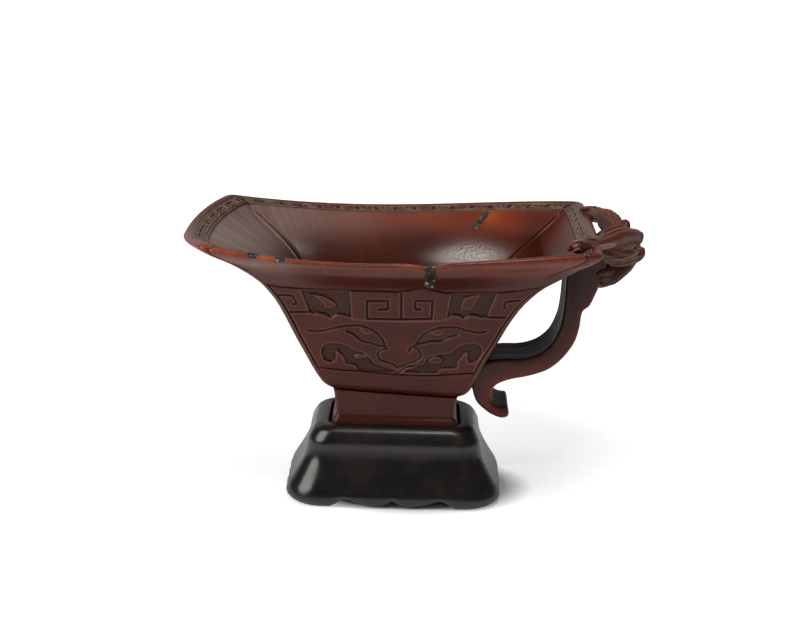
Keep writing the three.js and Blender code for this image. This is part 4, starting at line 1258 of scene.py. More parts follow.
class HORNCUP_OT_panels(bpy.types.Operator):
    """Make the carved panels: the mask with its fret register on each side of the cup"""
    bl_idname = "horncup.panels"
    bl_label = "Carved panels"

    # Each panel's side, and its columns and rows of points.
    PANELS = {"front": (FRONT, 440, 190), "rear": (REAR, 440, 190), "spout": (SPOUT, 250, 170),
              "handle": (HANDLE_SIDE, 250, 170)}
    EDGE_SETBACK = 1.75
    THICKNESS = 1.4

    def execute(self, context):
        for place, (side, columns, rows) in self.PANELS.items():
            self.make_panel(f"mask_panel_{place}", side, columns, rows, context.scene.horn_cup_sizes)
        return {"FINISHED"}

    def make_panel(self, name, side, columns, rows, sizes):
        s, t = np.meshgrid(np.linspace(0, 1, columns), np.linspace(0, 1, rows))
        f = s.copy()
        # The setback at the side edges needs the height, and the height needs the setback.
        for _ in range(2):
            low, high = bottom_height(side, f), register_height(side, f)
            height = low + (high - low) * t
            half = rib_half(height)
            depth = corner_depth(half)
            length = side_length(side, half, depth)
            back = self.EDGE_SETBACK / length
            f = back + (1 - 2 * back) * s
        grid = side_point(side, f, half, depth, height)
        normals = grid_normals(grid, False)
        squeeze = 1.0
        if side in LONG_SIDES:
            x, z = grid[..., 0] - CARVING_ZERO_X, grid[..., 2]
        else:
            x, z = centre_x(height) - CARVING_ZERO_X + (2 * f - 1) * half, BOWL_Z + height
            squeeze = float(np.mean(depth / half))
        cut, tones = carve(np.stack([x.ravel(), z.ravel()], -1), sizes, squeeze)
        cut = cut.reshape(f.shape)
        tones = {tone: value.reshape(f.shape) for tone, value in tones.items()}
        # A cut line frames the panel, measured from its own edges. It is painted dark, painted shade, with a
        # painted highlight just inside it.
        side_edge = np.minimum(s, 1 - s) * (1 - 2 * back) * length
        flat_edge = np.minimum(t, 1 - t) * (high - low)
        frame_cut = 1 - rise(np.minimum(side_edge, flat_edge), 0.05, 0.4)
        cut = np.maximum(cut, 0.55 * frame_cut) - 0.1 * bump(side_edge - 0.75, 0.25)
        tones["line"] = np.clip(np.maximum(tones["line"], frame_cut), 0, 1)
        tones["edge"] = np.clip(tones["edge"] + 0.8 * bump(side_edge - 0.7, 0.25), 0, 1) * (1 - frame_cut)
        tones["dust"] = tones["dust"] * (1 - frame_cut)
        # The nose is painted a lighter red, a painted highlight on its rounded bridge.
        tones["thin"] = 0.25 * smooth(1 - np.hypot((x - 3.0) / 7, (z - 56) / 9))
        points, faces = slab(grid - normals * cut[..., None], grid - normals * self.THICKNESS)
        uv = np.zeros((len(points), 2))
        uv[:f.size] = np.stack([(f * length).ravel(), height.ravel()], -1)
        piece = make_piece(name, points, faces, tones, uv, hubs=len(points) - f.size)
        finish_piece(piece, "cup", "horn", horn_material(), "horn_cup")


# Fret band

class GeometryTree(Tree):
    """A geometry node tree under construction."""

    def __init__(self, name, inputs):
        super().__init__(bpy.data.node_groups.new(name, "GeometryNodeTree"))
        sockets = self.tree.interface
        self.ids = {
            title: sockets.new_socket(name=title, in_out="INPUT", socket_type=kind).identifier
            for title, kind in {"Geometry": "NodeSocketGeometry", **inputs}.items()}
        sockets.new_socket(name="Geometry", in_out="OUTPUT", socket_type="NodeSocketGeometry")
        self.given = self.tree.nodes.new("NodeGroupInput").outputs

    def vector(self, operation, a, b=None, scale=None):
        inputs = {0: a}
        if b is not None:
            inputs[1] = b
        if scale is not None:
            inputs["Scale"] = scale
        return self.add("ShaderNodeVectorMath", inputs, operation=operation).outputs["Vector"]

    def close(self, geometry):
        """Ends the tree: instances made real, and the material set."""
        real = self.add("GeometryNodeRealizeInstances", {"Geometry": geometry}).outputs[0]
        finished = self.add("GeometryNodeSetMaterial", {
            "Geometry": real, "Material": self.given["Material"]}).outputs[0]
        self.add("NodeGroupOutput", {0: finished})
        return self

    def run(self, carrier, values):
        """Runs the tree on an object and gives the result as a plain mesh."""
        modifier = carrier.modifiers.new("build", "NODES")
        modifier.node_group = self.tree
        for name, value in values.items():
            modifier[self.ids[name]] = value
        mesh = evaluated_mesh(carrier)
        carrier.modifiers.remove(modifier)
        return mesh


def fret_tree():
    """Repeats a flat key along X, then lays the strip between an outer and an inner guide line."""
    g = GeometryTree("fret_along_band", {
        "Count": "NodeSocketInt", "Pitch": "NodeSocketFloat", "Width": "NodeSocketFloat",
        "Outer guide": "NodeSocketObject", "Inner guide": "NodeSocketObject",
        "Material": "NodeSocketMaterial"})
    step = g.add("ShaderNodeCombineXYZ", {"X": g.given["Pitch"]}).outputs[0]
    line = g.add("GeometryNodeMeshLine", {"Count": g.given["Count"], "Offset": step})
    copies = g.add("GeometryNodeInstanceOnPoints", {
        "Points": line.outputs[0], "Instance": g.given["Geometry"]}).outputs[0]
    strip = g.add("GeometryNodeRealizeInstances", {"Geometry": copies}).outputs[0]
    place = g.add("ShaderNodeSeparateXYZ", {0: g.add("GeometryNodeInputPosition").outputs[0]}).outputs
    share = g.calc("DIVIDE", place[0], g.times(g.given["Count"], g.given["Pitch"]))
    samples = []
    for name in ("Outer guide", "Inner guide"):
        guide = g.add("GeometryNodeObjectInfo", {"Object": g.given[name]}).outputs["Geometry"]
        curve = g.add("GeometryNodeMeshToCurve", {"Mesh": guide}).outputs[0]
        samples.append(g.add("GeometryNodeSampleCurve", {"Curves": curve, "Factor": share}, mode="FACTOR"))
    outer, inner = (sample.outputs for sample in samples)
    across = g.vector("SUBTRACT", inner["Position"], outer["Position"])
    up = g.vector("NORMALIZE", g.vector("CROSS_PRODUCT", outer["Tangent"], across))
    inward = g.vector("SCALE", across, scale=g.calc("DIVIDE", place[1], g.given["Width"]))
    placed = g.vector("ADD", outer["Position"], inward)
    placed = g.vector("ADD", placed, g.vector("SCALE", up, scale=place[2]))
    return g.close(g.add("GeometryNodeSetPosition", {"Geometry": strip, "Position": placed}).outputs[0])


def line_tree():
    """Sweeps a small round section along a path."""
    g = GeometryTree("line_along_path", {"Radius": "NodeSocketFloat", "Material": "NodeSocketMaterial"})
    curve = g.add("GeometryNodeMeshToCurve", {"Mesh": g.given["Geometry"]}).outputs[0]
    section = g.add("GeometryNodeCurvePrimitiveCircle", {"Resolution": 8, "Radius": g.given["Radius"]})
    swept = g.add("GeometryNodeCurveToMesh", {
        "Curve": curve, "Profile Curve": section.outputs[0], "Fill Caps": True}).outputs[0]
    return g.close(swept)


def path_object(name, points):
    """A path as a chain of edges."""
    mesh = bpy.data.meshes.new(name)
    mesh.from_pydata(in_metres(points), [(i, i + 1) for i in range(len(points) - 1)], [])
    return add_object(name, mesh)


# How far a raised line's foot is sunk into its ground.
RIBBON_SINK = 0.12


def ribbon(line, width, relief):
    """A raised line with sloping sides along a flat path: points and quads, closed at both ends."""
    line = np.array(line, float)
    ahead = np.diff(line, axis=0)
    ahead /= np.linalg.norm(ahead, axis=1, keepdims=True)
    before, after = np.vstack([ahead[:1], ahead]), np.vstack([ahead, ahead[-1:]])
    mean = (before + after) / np.linalg.norm(before + after, axis=1, keepdims=True)
    stretch = 1 / np.maximum((mean * after).sum(1), 0.5)
    left = np.stack([-mean[:, 1], mean[:, 0]], -1) * stretch[:, None]
    rows = []
    for offset, z in ((0.5, -RIBBON_SINK), (-0.5, -RIBBON_SINK), (-0.3, relief), (0.3, relief)):
        rows.append(np.c_[line + left * offset * width, np.full(len(line), z)])
    points = np.stack(rows, 1).reshape(-1, 3)
    faces = [(4 * i + a, 4 * i + b, 4 * i + 4 + b, 4 * i + 4 + a)
             for i in range(len(line) - 1) for a, b in ((0, 1), (1, 2), (2, 3), (3, 0))]
    last = 4 * (len(line) - 1)
    faces += [(3, 2, 1, 0), (last, last + 1, last + 2, last + 3)]
    return points, faces


class HORNCUP_OT_fret(bpy.types.Operator):
    """Make the key fret round the rim, with its long border lines"""
    bl_idname = "horncup.fret"
    bl_label = "Fret band"

    # One key and its mirror image, as shares of the pitch and of the band's width.
    KEY = [[0.06, 0.24], [0.88, 0.24], [0.88, 0.76], [0.28, 0.76], [0.28, 0.5], [0.6, 0.5]]
    BORDER_LINES = (0.05, 0.95)
    GUIDE_POINTS = 120

    def execute(self, context):
        sizes = context.scene.horn_cup_sizes
        width, relief = sizes.fret_line / MM, sizes.fret_relief / MM
        pitch = sizes.fret_pitch / MM
        keys, lines = fret_tree(), line_tree()
        meshes, temporary = [], []
        for side in SIDES:
            outer, inner = self.guide(side, 0.0), self.guide(side, 1.0)
            length = float(np.linalg.norm(np.diff(outer, axis=0), axis=1).sum())
            count = max(int(round(length / (2 * pitch))), 1)
            step = length / count
            unit = self.unit(step, width, relief)
            guides = [path_object("outer_guide", outer), path_object("inner_guide", inner)]
            meshes.append(keys.run(unit, {
                "Count": count, "Pitch": step * MM, "Width": FRET_WIDTH * MM, "Outer guide": guides[0],
                "Inner guide": guides[1], "Material": horn_material()}))
            for share in self.BORDER_LINES:
                path = path_object("border_line", outer + (inner - outer) * share)
                meshes.append(lines.run(path, {"Radius": width * 0.48 * MM, "Material": horn_material()}))
                temporary.append(path)
            temporary += [unit] + guides
        for made in temporary:
            bpy.data.objects.remove(made)
        self.join(meshes)
        return {"FINISHED"}

    def guide(self, side, share):
        """The band's outer or inner edge on one side, from mitre to mitre."""
        half = RIM_HALF_LENGTH - FRET_BORDER - 0.05 - (FRET_WIDTH - 0.05) * share
        height = BOWL_HEIGHT - GROUND_DROP + 0.04 - GROUND_FALL * share
        f = np.linspace(0.004, 0.996, self.GUIDE_POINTS)
        return side_point(side, f, half, corner_depth(half), height)

    def unit(self, step, width, relief):
        """Two facing keys, drawn flat: X along the rim, Y inward."""
        key = np.array(self.KEY) * [step / 2, FRET_WIDTH]
        mirrored = key * [-1, 1] + [step, 0]
        points, faces = merged(ribbon(line, width, relief) for line in (key, mirrored))
        mesh = bpy.data.meshes.new("fret_unit")
        mesh.from_pydata((points * MM).tolist(), [], faces)
        return add_object("fret_unit", mesh)

    def join(self, meshes):
        """Makes the band of all its meshes, dusty in patches."""
        points, faces = merged(([tuple(v.co / MM - Vector(ORIGIN)) for v in mesh.vertices],
                                [tuple(p.vertices) for p in mesh.polygons]) for mesh in meshes)
        worn = np.array([noise.noise(Vector(p) * 0.5) for p in points])
        tones = {"dust": np.clip(0.1 + 0.6 * worn, 0.0, 0.5), "pale": np.clip(0.6 + 0.7 * worn, 0.2, 0.95)}
        piece = make_piece("fret_band", points, faces, tones)
        recalculate_normals(piece.data)
        piece.data.polygons.foreach_set("use_smooth", np.zeros(len(piece.data.polygons), bool))
        finish_piece(piece, "cup", "horn", horn_material(), "horn_cup")


def recalculate_normals(mesh):
    work = bmesh.new()
    work.from_mesh(mesh)
    bmesh.ops.recalc_face_normals(work, faces=work.faces)
    work.to_mesh(mesh)
    work.free()


# Handle

# The strap is drawn from the side as pairs of points, from the rim down to the tip of the hook:
# the face towards the bowl, then the face away from it. Both are in millimetres from the root
# of the handle at the bowl's lower edge.
STRAP = np.array([
    [34.5, 48.4, 43.0, 51.9], [34.45, 44.8, 47.0, 49.0], [34.4, 40.9, 47.4, 42.4],
    [34.3, 36.4, 45.2, 36.9], [34.1, 31.9, 42.7, 30.9], [33.9, 28.6, 40.2, 28.2],
    [33.3, 24.1, 39.4, 22.6], [32.1, 20.5, 38.1, 17.9], [30.6, 17.4, 35.6, 13.7],
    [28.6, 15.2, 32.6, 10.3], [26.3, 13.5, 29.3, 7.8], [23.0, 12.2, 25.7, 6.3],
    [19.6, 11.6, 21.9, 5.2], [14.0, 11.4, 18.0, 4.4], [8.6, 10.4, 14.6, 3.3], [5.4, 7.4, 12.5, 2.2],
    [3.9, 4.1, 11.2, 0.8], [3.9, 2.0, 10.8, -0.9], [4.3, -0.1, 10.6, -2.7], [5.8, -4.1, 11.3, -4.4],
    [9.5, -7.5, 12.6, -5.3], [12.0, -8.9, 13.7, -5.7], [14.3, -9.6, 14.8, -5.95],
    [16.2, -9.2, 15.9, -6.0], [16.9, -8.0, 16.5, -6.5]])
ROOT_X = centre_x(0) + BASE_HALF_LENGTH
STRAP_HALF_WIDTH = 10.3
STRAP_ROUNDING = 1.3
CHANNEL_DEPTH = 0.55


class HORNCUP_OT_handle(bpy.types.Operator):
    """Make the strap handle with its channelled inside and the hook below"""
    bl_idname = "horncup.handle"
    bl_label = "Handle strap"

    STATIONS = 170
    # Shares of the strap's run at which the loop's inside ends and the hook's curl begins.
    LOOP_END = 0.68
    CURL_START = 0.72
    # Steps of a section: across its faces, across its edges, and round its corners.
    FACE_STEPS = 25
    EDGE_STEPS = 7
    CORNER_STEPS = 6
    # How far the face away from the bowl, and the edges, stand out in their middles.
    FACE_CROWN = 0.25
    EDGE_CROWN = 0.12

    def execute(self, context):
        rows = spline(STRAP, self.STATIONS)
        near, far = rows[:, :2], rows[:, 2:]
        middles, thickness = (near + far) / 2, np.linalg.norm(far - near, axis=1)
        run = np.r_[0, np.cumsum(np.linalg.norm(np.diff(middles, axis=0), axis=1))]
        rings, uv = [], []
        tones = {"polish": [], "thin": [], "line": [], "edge": []}
        for i, (middle, across) in enumerate(zip(middles, (far - near) / thickness[:, None])):
            tip = smooth((self.STATIONS - 1 - i) / 5)
            ring, facing = self.section(thickness[i] / 2, STRAP_HALF_WIDTH - 1.2 * (1 - tip))
            x = ROOT_X + middle[0] + ring[:, 0] * across[0]
            z = BOWL_Z + middle[1] + ring[:, 0] * across[1]
            rings.append(np.stack([x, ring[:, 1], z], -1))
            uv += [(y, run[i]) for y in ring[:, 1]]
            share = i / (self.STATIONS - 1)
            in_loop = fall(share, self.LOOP_END, 0.05)
            in_curl = rise(share, self.CURL_START, 0.06)
            outward = ring[:, 0] / np.abs(ring[:, 0]).max()
            flank = 1 - np.abs(facing)
            # Inside the loop and the hook's curl the strap is dark and dull, partly painted shade where the
            # loop faces the bowl.
            tones["polish"].append(np.maximum(smooth(facing) * in_loop, smooth(-facing) * in_curl))
            tones["thin"].append(0.75 * rise(outward, 0.1, 0.9) * smooth(share / 0.3))
            tones["line"].append(flank * (0.4 * fall(outward, 0.7, 1.4)
                                          + 0.35 * fall(share, 0.3, 0.2)))
            # A painted highlight runs along the loop's inner edges.
            tones["edge"].append(0.5 * bump(facing - 0.45, 0.25) * in_loop)
        rings = np.stack(rings)
        tones = {tone: np.array(value) for tone, value in tones.items()}
        uv = np.array(uv + [(0, 0), (0, run[-1])])
        piece = make_piece("handle_strap", with_hubs(rings), closed_tube_faces(*rings.shape[:2]),
                           tones, uv, hubs=2)
        recalculate_normals(piece.data)
        finish_piece(piece, "cup", "horn", horn_material(), "horn_cup")
        return {"FINISHED"}

    def section(self, half, width):
        """A section of the strap: offsets across its thickness and along Y, and which way each
        point faces, from 1 towards the bowl to -1 away from it."""
        r = min(STRAP_ROUNDING, half * 0.8)
        flat = width - r
        quarter = np.linspace(0, math.pi / 2, self.CORNER_STEPS)
        inner = [(-half + CHANNEL_DEPTH * (1 - abs(v) ** 2.5), v * flat, 1.0)
                 for v in np.linspace(-1, 1, self.FACE_STEPS)]
        edge = [(-half + r - r * math.cos(a), flat + r * math.sin(a), math.cos(a)) for a in quarter[1:]]
        edge += [(v * (half - r), width + self.EDGE_CROWN * (1 - v * v), 0.0)
                 for v in np.linspace(-1, 1, self.EDGE_STEPS)[1:-1]]
        edge += [(half - r + r * math.sin(a), flat + r * math.cos(a), -math.sin(a)) for a in quarter]
        outer = [(half + self.FACE_CROWN * (1 - v * v), v * flat, -1.0)
                 for v in np.linspace(1, -1, self.FACE_STEPS)[1:-1]]
        other_edge = [(x, -y, facing) for x, y, facing in reversed(edge)]
        rows = np.array(inner + edge + outer + other_edge)
        return rows[:, :2], rows[:, 2]


# Dragons

RIM_END_X = centre_x(BOWL_HEIGHT) + RIM_HALF_LENGTH + 1.0
# Limbs: rows of x, y, z from the middle of the rim's handle end, and radius.
LIMBS = [
    # Shared body on the outside of the handle.
    [[0.2, 0, -17.9, 3.2], [1.4, -0.2, -17.0, 5.2], [5.5, -1, -13.9, 6.3], [10.9, -2, -9.5, 5.4],
     [12.9, -2, -4.9, 4.2]],
    # Front dragon: long smooth neck to the front corner, and its head over the rim.
    [[14.8, -3, -2.5, 2.4], [10, -9, -1.3, 2.8], [5.5, -15, -1.2, 2.5], [1, -22, -0.9, 2.1],
     [-3.1, -28, -0.3, 2.1], [-7, -32, 0.3, 2.4], [-8.9, -33.6, -0.3, 1.5]],
    # Rear dragon: arched neck, and its head on the rim.
    [[11.3, 2, -5.0, 3.0], [10.1, 6, -2.6, 2.6], [8.1, 11.5, -0.3, 2.8], [5.5, 16.5, -0.2, 2.8],
     [2.7, 20.8, -1, 2.6], [-0.1, 23.4, -1.9, 2.2]],
    # Its shoulder, down to the rim.
    [[0.4, -0.6, -6.4, 1.5], [3.3, -0.6, -3.3, 1.6], [6.5, 1.4, -2.3, 1.8], [9.4, 4.3, -2.6, 2.3]],
    # Haunches and curled knobs at the outer end.
    [[13, -2.5, -5.4, 2.6], [14.8, -3.2, -3.0, 2.6], [15.2, -3.4, -0.9, 1.9]],
    [[13.5, -4, -9.7, 2.4], [15.7, -4.4, -8.1, 2.4], [16.4, -4.6, -5.9, 1.4]],
    [[13.1, 3.4, -9.9, 2.6], [15.1, 4.2, -7.3, 2.4], [14.7, 4.6, -4.5, 1.8]],
    [[11.4, 1.5, -3.6, 1.6], [12.0, 3.4, -1.2, 1.6], [11.9, 4.6, 0.0, 1.5], [11.2, 6.0, 0.2, 0.9]],
    # Fanned mane and fore leg on the front side.
    [[14.1, -6.5, -7.7, 2], [10, -10.2, -7.1, 3], [5.5, -13.4, -6.3, 2.8], [1, -16.5, -4.5, 2]],
    # Chest of the rear dragon.
    [[12.5, 4.0, -6.5, 3.2], [9.8, 8.2, -4.8, 3.3], [7.2, 12.6, -3.4, 2.7], [5.0, 16, -2.4, 2.0]],
    # Fore leg on the rear side.
    [[12.5, 5, -9.9, 2.2], [9, 9, -11.4, 2.6], [4.5, 11, -11.6, 2.4], [0.5, 12, -10.5, 1.8]],
    # Tail curling under.
    [[12.1, -3.6, -11.9, 2.8], [9.5, -6, -14.1, 2.6], [6.9, -8, -16.3, 2], [3.7, -9, -17.3, 1.3]],
]


# A direction that no limb runs along, to turn the tubes' sections by.
ASKEW = (0.3, 0.2, 0.93)


def tube(rows, steps=24, sides=14):
    """A tapering tube through rows of x, y, z and radius, closed at both ends."""
    rows = spline(rows, steps)
    centre, radius = rows[:, :3], np.maximum(rows[:, 3], 0.15)
    ahead = np.gradient(centre, axis=0)
    ahead /= np.linalg.norm(ahead, axis=1, keepdims=True)
    side = np.cross(ahead, ASKEW)
    side /= np.linalg.norm(side, axis=1, keepdims=True)
    over = np.cross(ahead, side)
    angle = np.linspace(0, 2 * np.pi, sides, endpoint=False)
    rings = centre[:, None] + radius[:, None, None] * (
        np.cos(angle)[None, :, None] * side[:, None] + np.sin(angle)[None, :, None] * over[:, None])
    return with_hubs(rings), closed_tube_faces(steps, sides)


class HORNCUP_OT_dragons(bpy.types.Operator):
    """Make the two dragons that climb from the handle over the rim"""
    bl_idname = "horncup.dragons"
    bl_label = "Dragons"

    # Thin ridges: rows of x, y, z from the middle of the rim's handle end, and radius.
    RIDGES = [
        # Upper edge of the front neck.
        [[12.5, -5.5, 0.5, 0.15], [9.4, -9.6, 1.6, 0.3], [5.2, -15.2, 1.6, 0.3],
         [0.9, -21.6, 1.3, 0.25], [-2, -26, 1.9, 0.15]],
        # Flat band across its side.
        [[6.4, -19.4, -1.7, 0.2], [4.6, -22.0, -1.4, 0.75], [2.2, -24.8, -1.2, 0.9],
         [-0.2, -27.6, -1.0, 0.75], [-1.6, -29.4, -0.9, 0.2]],
        # Wavy ridge under it.
        [[-1, -21.8, -3.0, 0.15], [2.2, -19.6, -2.5, 0.35], [5, -17, -3.0, 0.3],
         [7.6, -14, -3.4, 0.35], [10, -11.5, -4.2, 0.15]],
        # Edges of the mane's locks.
        [[14.5, -7.6, -4.6, 0.15], [11.5, -11.4, -4.9, 0.32], [8, -14.2, -5.2, 0.28],
         [4.5, -16.2, -5.4, 0.15]],
        [[15.6, -7.6, -6.6, 0.15], [12.6, -11.6, -7.4, 0.32], [9, -14.6, -7.8, 0.28],
         [5, -16.4, -7.8, 0.15]],
        [[15.2, -7.4, -9.0, 0.15], [12, -10.8, -10.2, 0.32], [8.5, -13, -10.4, 0.28],
         [5, -14.4, -9.8, 0.15]],
        # Curl, brow and lip of the front head.
        [[-8.8, -34.6, 2.2, 0.15], [-6.6, -33.6, 2.7, 0.4], [-4.2, -31.4, 1.2, 0.35],
         [-2.8, -30.4, 0.2, 0.3], [-0.4, -28.4, -0.3, 0.15]],
        [[-3.9, -29.6, 2.5, 0.15], [-1.2, -27.4, 2.2, 0.3], [1.6, -24, 1.4, 0.15]],
        [[-9.4, -35, -1.0, 0.15], [-7.2, -35.2, 0.2, 0.3], [-5.8, -34, -0.6, 0.15]],
        # Brow of the rear head.
        [[4.5, 17.4, 2.6, 0.15], [1.8, 20, 2.2, 0.35], [-1, 22.4, 1.0, 0.3], [-2.4, 23.6, -0.8, 0.15]],
    ]
    # Front head: brow curl, ear, and jaw on the rim.
    FRONT_HEAD = [
        [[-1.0, -26.0, 1.2, 0.5], [-3.4, -28.0, 2.2, 0.9], [-5.4, -29.6, 1.6, 0.5]],
        [[0.5, -24.6, -0.2, 0.6], [-2.2, -24.9, 0.8, 0.8], [-4.6, -26.2, 0.6, 0.4]],
        [[-6.5, -31.0, 1.0, 1.0], [-9.2, -32.2, 0.2, 0.9], [-10.2, -32.6, -1.2, 0.5]],
    ]
    # Rear head: horn, ear and paw on the rim.
    REAR_HEAD = [
        [[3.5, 19.0, 1.6, 0.5], [0.6, 20.6, 1.6, 0.9], [-2.2, 22.4, 0.6, 0.6]],
        [[1.2, 19.4, -2.4, 1.2], [-2.0, 19.6, -2.8, 1.2], [-4.4, 19.2, -2.6, 0.7]],
        [[1.0, 22.6, -2.6, 1.3], [-2.4, 23.4, -2.2, 1.1], [-4.0, 23.6, -2.2, 0.6]],
    ]
    MANE_LOCKS = 7
    TOES = 3
    # The skin: granules to a millimetre, how far they stand out, and the depth of the mane's furrows.
    GRANULES = 1.15
    GRANULE_HEIGHT = 0.24
    FURROW_DEPTH = 0.26
    LOCK_WIDTH = 2.3

    def execute(self, context):
        limbs = LIMBS + self.mane() + self.toes() + self.FRONT_HEAD + self.REAR_HEAD
        rough = make_piece("dragon_limbs", *merged(tube(self.placed(rows)) for rows in limbs))
        fuse = rough.modifiers.new("fuse", "REMESH")
        fuse.mode = "VOXEL"
        fuse.voxel_size = context.scene.horn_cup_sizes.dragon_voxel
        soften = rough.modifiers.new("soften", "SMOOTH")
        soften.factor = 0.5
        soften.iterations = 2
        mesh = evaluated_mesh(rough)
        bpy.data.objects.remove(rough)
        self.finish_surface(mesh)
        self.make_ridges()
        return {"FINISHED"}

    def placed(self, rows):
        return np.array(rows) + [RIM_END_X, 0, RIM_Z, 0]

    def mane(self):
        """Locks of the fanned mane, from the outer end forward and down."""
        return [[[14.2 - 2.5 * u, -7.0 - 0.6 * u, -4.6 - 5.6 * u, 0.5],
                 [9.5 - 1.5 * u, -12.4 + 0.3 * u, -4.4 - 5.0 * u, 1.15],
                 [2.5 + 0.5 * u, -16.6 + 1.4 * u, -3.6 - 5.2 * u, 0.45]]
                for u in np.arange(self.MANE_LOCKS) / (self.MANE_LOCKS - 1)]

    def toes(self):
        """Toes on the outside below the mane."""
        return [[[8.0, -7.0, -13.0 - 1.2 * i, 1.0],
                 [5.2 + 0.4 * i, -9.6 + 0.6 * i, -13.2 - 1.9 * i, 1.35],
                 [2.6 + 0.7 * i, -10.6 + 0.6 * i, -13.8 - 2.0 * i, 0.9],
                 [1.6 + 0.8 * i, -10.4 + 0.6 * i, -14.2 - 2.0 * i, 0.3]] for i in range(self.TOES)]

    def finish_surface(self, mesh):
        """Adds the granular skin and the tones, and makes the fused mesh the final piece."""
        points = np.zeros(len(mesh.vertices) * 3)
        mesh.vertices.foreach_get("co", points)
        points = points.reshape(-1, 3) / MM - ORIGIN
        normals = np.zeros(len(mesh.vertices) * 3)
        mesh.vertices.foreach_get("normal", normals)
        normals = normals.reshape(-1, 3)
        faces = [tuple(p.vertices) for p in mesh.polygons]
        cells = np.array([noise.voronoi(Vector(p) * self.GRANULES)[0][0] for p in points])
        dots = fall(cells, 0.42, 0.3)
        grains = np.array([noise.noise(Vector(p) * 1.3) for p in points])
        patches = np.array([noise.noise(Vector(p) * 0.17 + Vector((3, 1, 5))) for p in points])
        x, y, z = (points - [RIM_END_X, 0, RIM_Z]).T
        # Parts of the two bodies, each 1 in its middle and 0 away from it.
        neck = fall(y, -9, 3) * rise(y, -27, 3) * rise(z, -3.0, 1.2) * fall(x, 10, 2)
        haunch = bump(x - 12.4, 2.4) * bump(y + 5.5, 4.5) * bump(z + 2.6, 2.0)
        shoulder = fall(x, 7.5, 3) * fall(y, 4.5, 3) * rise(y, -4, 3)
        rear = rise(y, 3, 4)
        mane = fall(z, -3.2, 1.5) * rise(z, -11.5, 2.5) * fall(y, -5, 2) * rise(y, -20, 3)
        under_neck = bump(z + 3.6, 1.4) * fall(y, -9, 2) * fall(x, 9, 3)
        low = fall(z, -8, 6)
        granular = 0.85 * rear + 1.4 * haunch + under_neck + 0.4 * smooth(patches * 3)
        granular = np.clip(granular, 0, 1) * (1 - neck) * (1 - 0.6 * shoulder)
        # Locks of the mane run outward and down on the front side.
        lock = (z + 0.35 * (x - 8) - 0.03 * (x - 8) ** 2 + 0.2 * np.sin(0.7 * x)) / self.LOCK_WIDTH
        furrow = np.abs(np.sin(np.pi * lock)) ** 0.7
        skin = self.GRANULE_HEIGHT * (dots - 0.5) * granular
        points = points + normals * (skin - self.FURROW_DEPTH * (1 - furrow) * mane)[:, None]
        hollow = smooth(-grains * 2.2 + 0.4)
        crest = rise(furrow, 0.86, 0.12) * mane
        blotch = smooth(patches * 4 - 0.1) * rise(z, -5, 3)
        dust = granular * (0.35 + 0.65 * hollow) * (1 - 0.7 * blotch) + 0.4 * low + 0.3 * shoulder
        # The crests of the mane's locks get a painted highlight.
        pale = granular * dots * (0.3 + 0.5 * haunch + 0.3 * hollow) + 0.15 * crest
        # The mane's furrows and the shoulder between the two dragons are painted dark, painted shade; the
        # dragons are also darker lower down and on the front neck.
        dark = 0.6 * (1 - furrow) * mane + 0.3 * low + 0.3 * neck + 0.45 * shoulder
        dark += 0.35 * smooth(grains * 3 - 0.2) * rear
        tones = {
            "dust": np.clip(dust, 0, 0.9),
            "pale": np.clip(pale, 0, 0.9),
            "edge": np.clip(0.3 * smooth(grains * 2) + 0.3 * crest, 0, 1),
            "thin": np.clip(0.45 * neck + 0.4 * blotch * rear + 0.15 * shoulder, 0, 1),
            "line": np.clip(dark, 0, 1),
            "bloom": np.clip(0.3 * smooth(-patches * 3) * (1 - neck), 0, 1),
        }
        piece = make_piece("dragons", points, faces, tones)
        finish_piece(piece, "cup", "horn", horn_material(), "horn_cup")

    def make_ridges(self):
        """Thin ridges painted pale, a painted highlight: along the front neck, over the mane, and the curls
        of the two heads.
        """
        points, faces = merged(tube(self.placed(rows), steps=30, sides=8) for rows in self.RIDGES)
        tones = {"pale": np.full(len(points), 0.5), "edge": np.full(len(points), 0.8)}
        piece = make_piece("dragon_ridges", points, faces, tones)
        recalculate_normals(piece.data)
        finish_piece(piece, "cup", "horn", horn_material(), "horn_cup")


# Fills

def shares_at(side, half, height, x):
    """The shares of a long side at which it has the given x."""
    offset = (x - centre_x(height)) / half
    return (1 + offset) / 2 if side is FRONT else (1 - offset) / 2


def near_edge(count):
    """How many steps each of a row's points is from the nearer end of the row."""
    return np.minimum(np.arange(count), np.arange(count)[::-1])


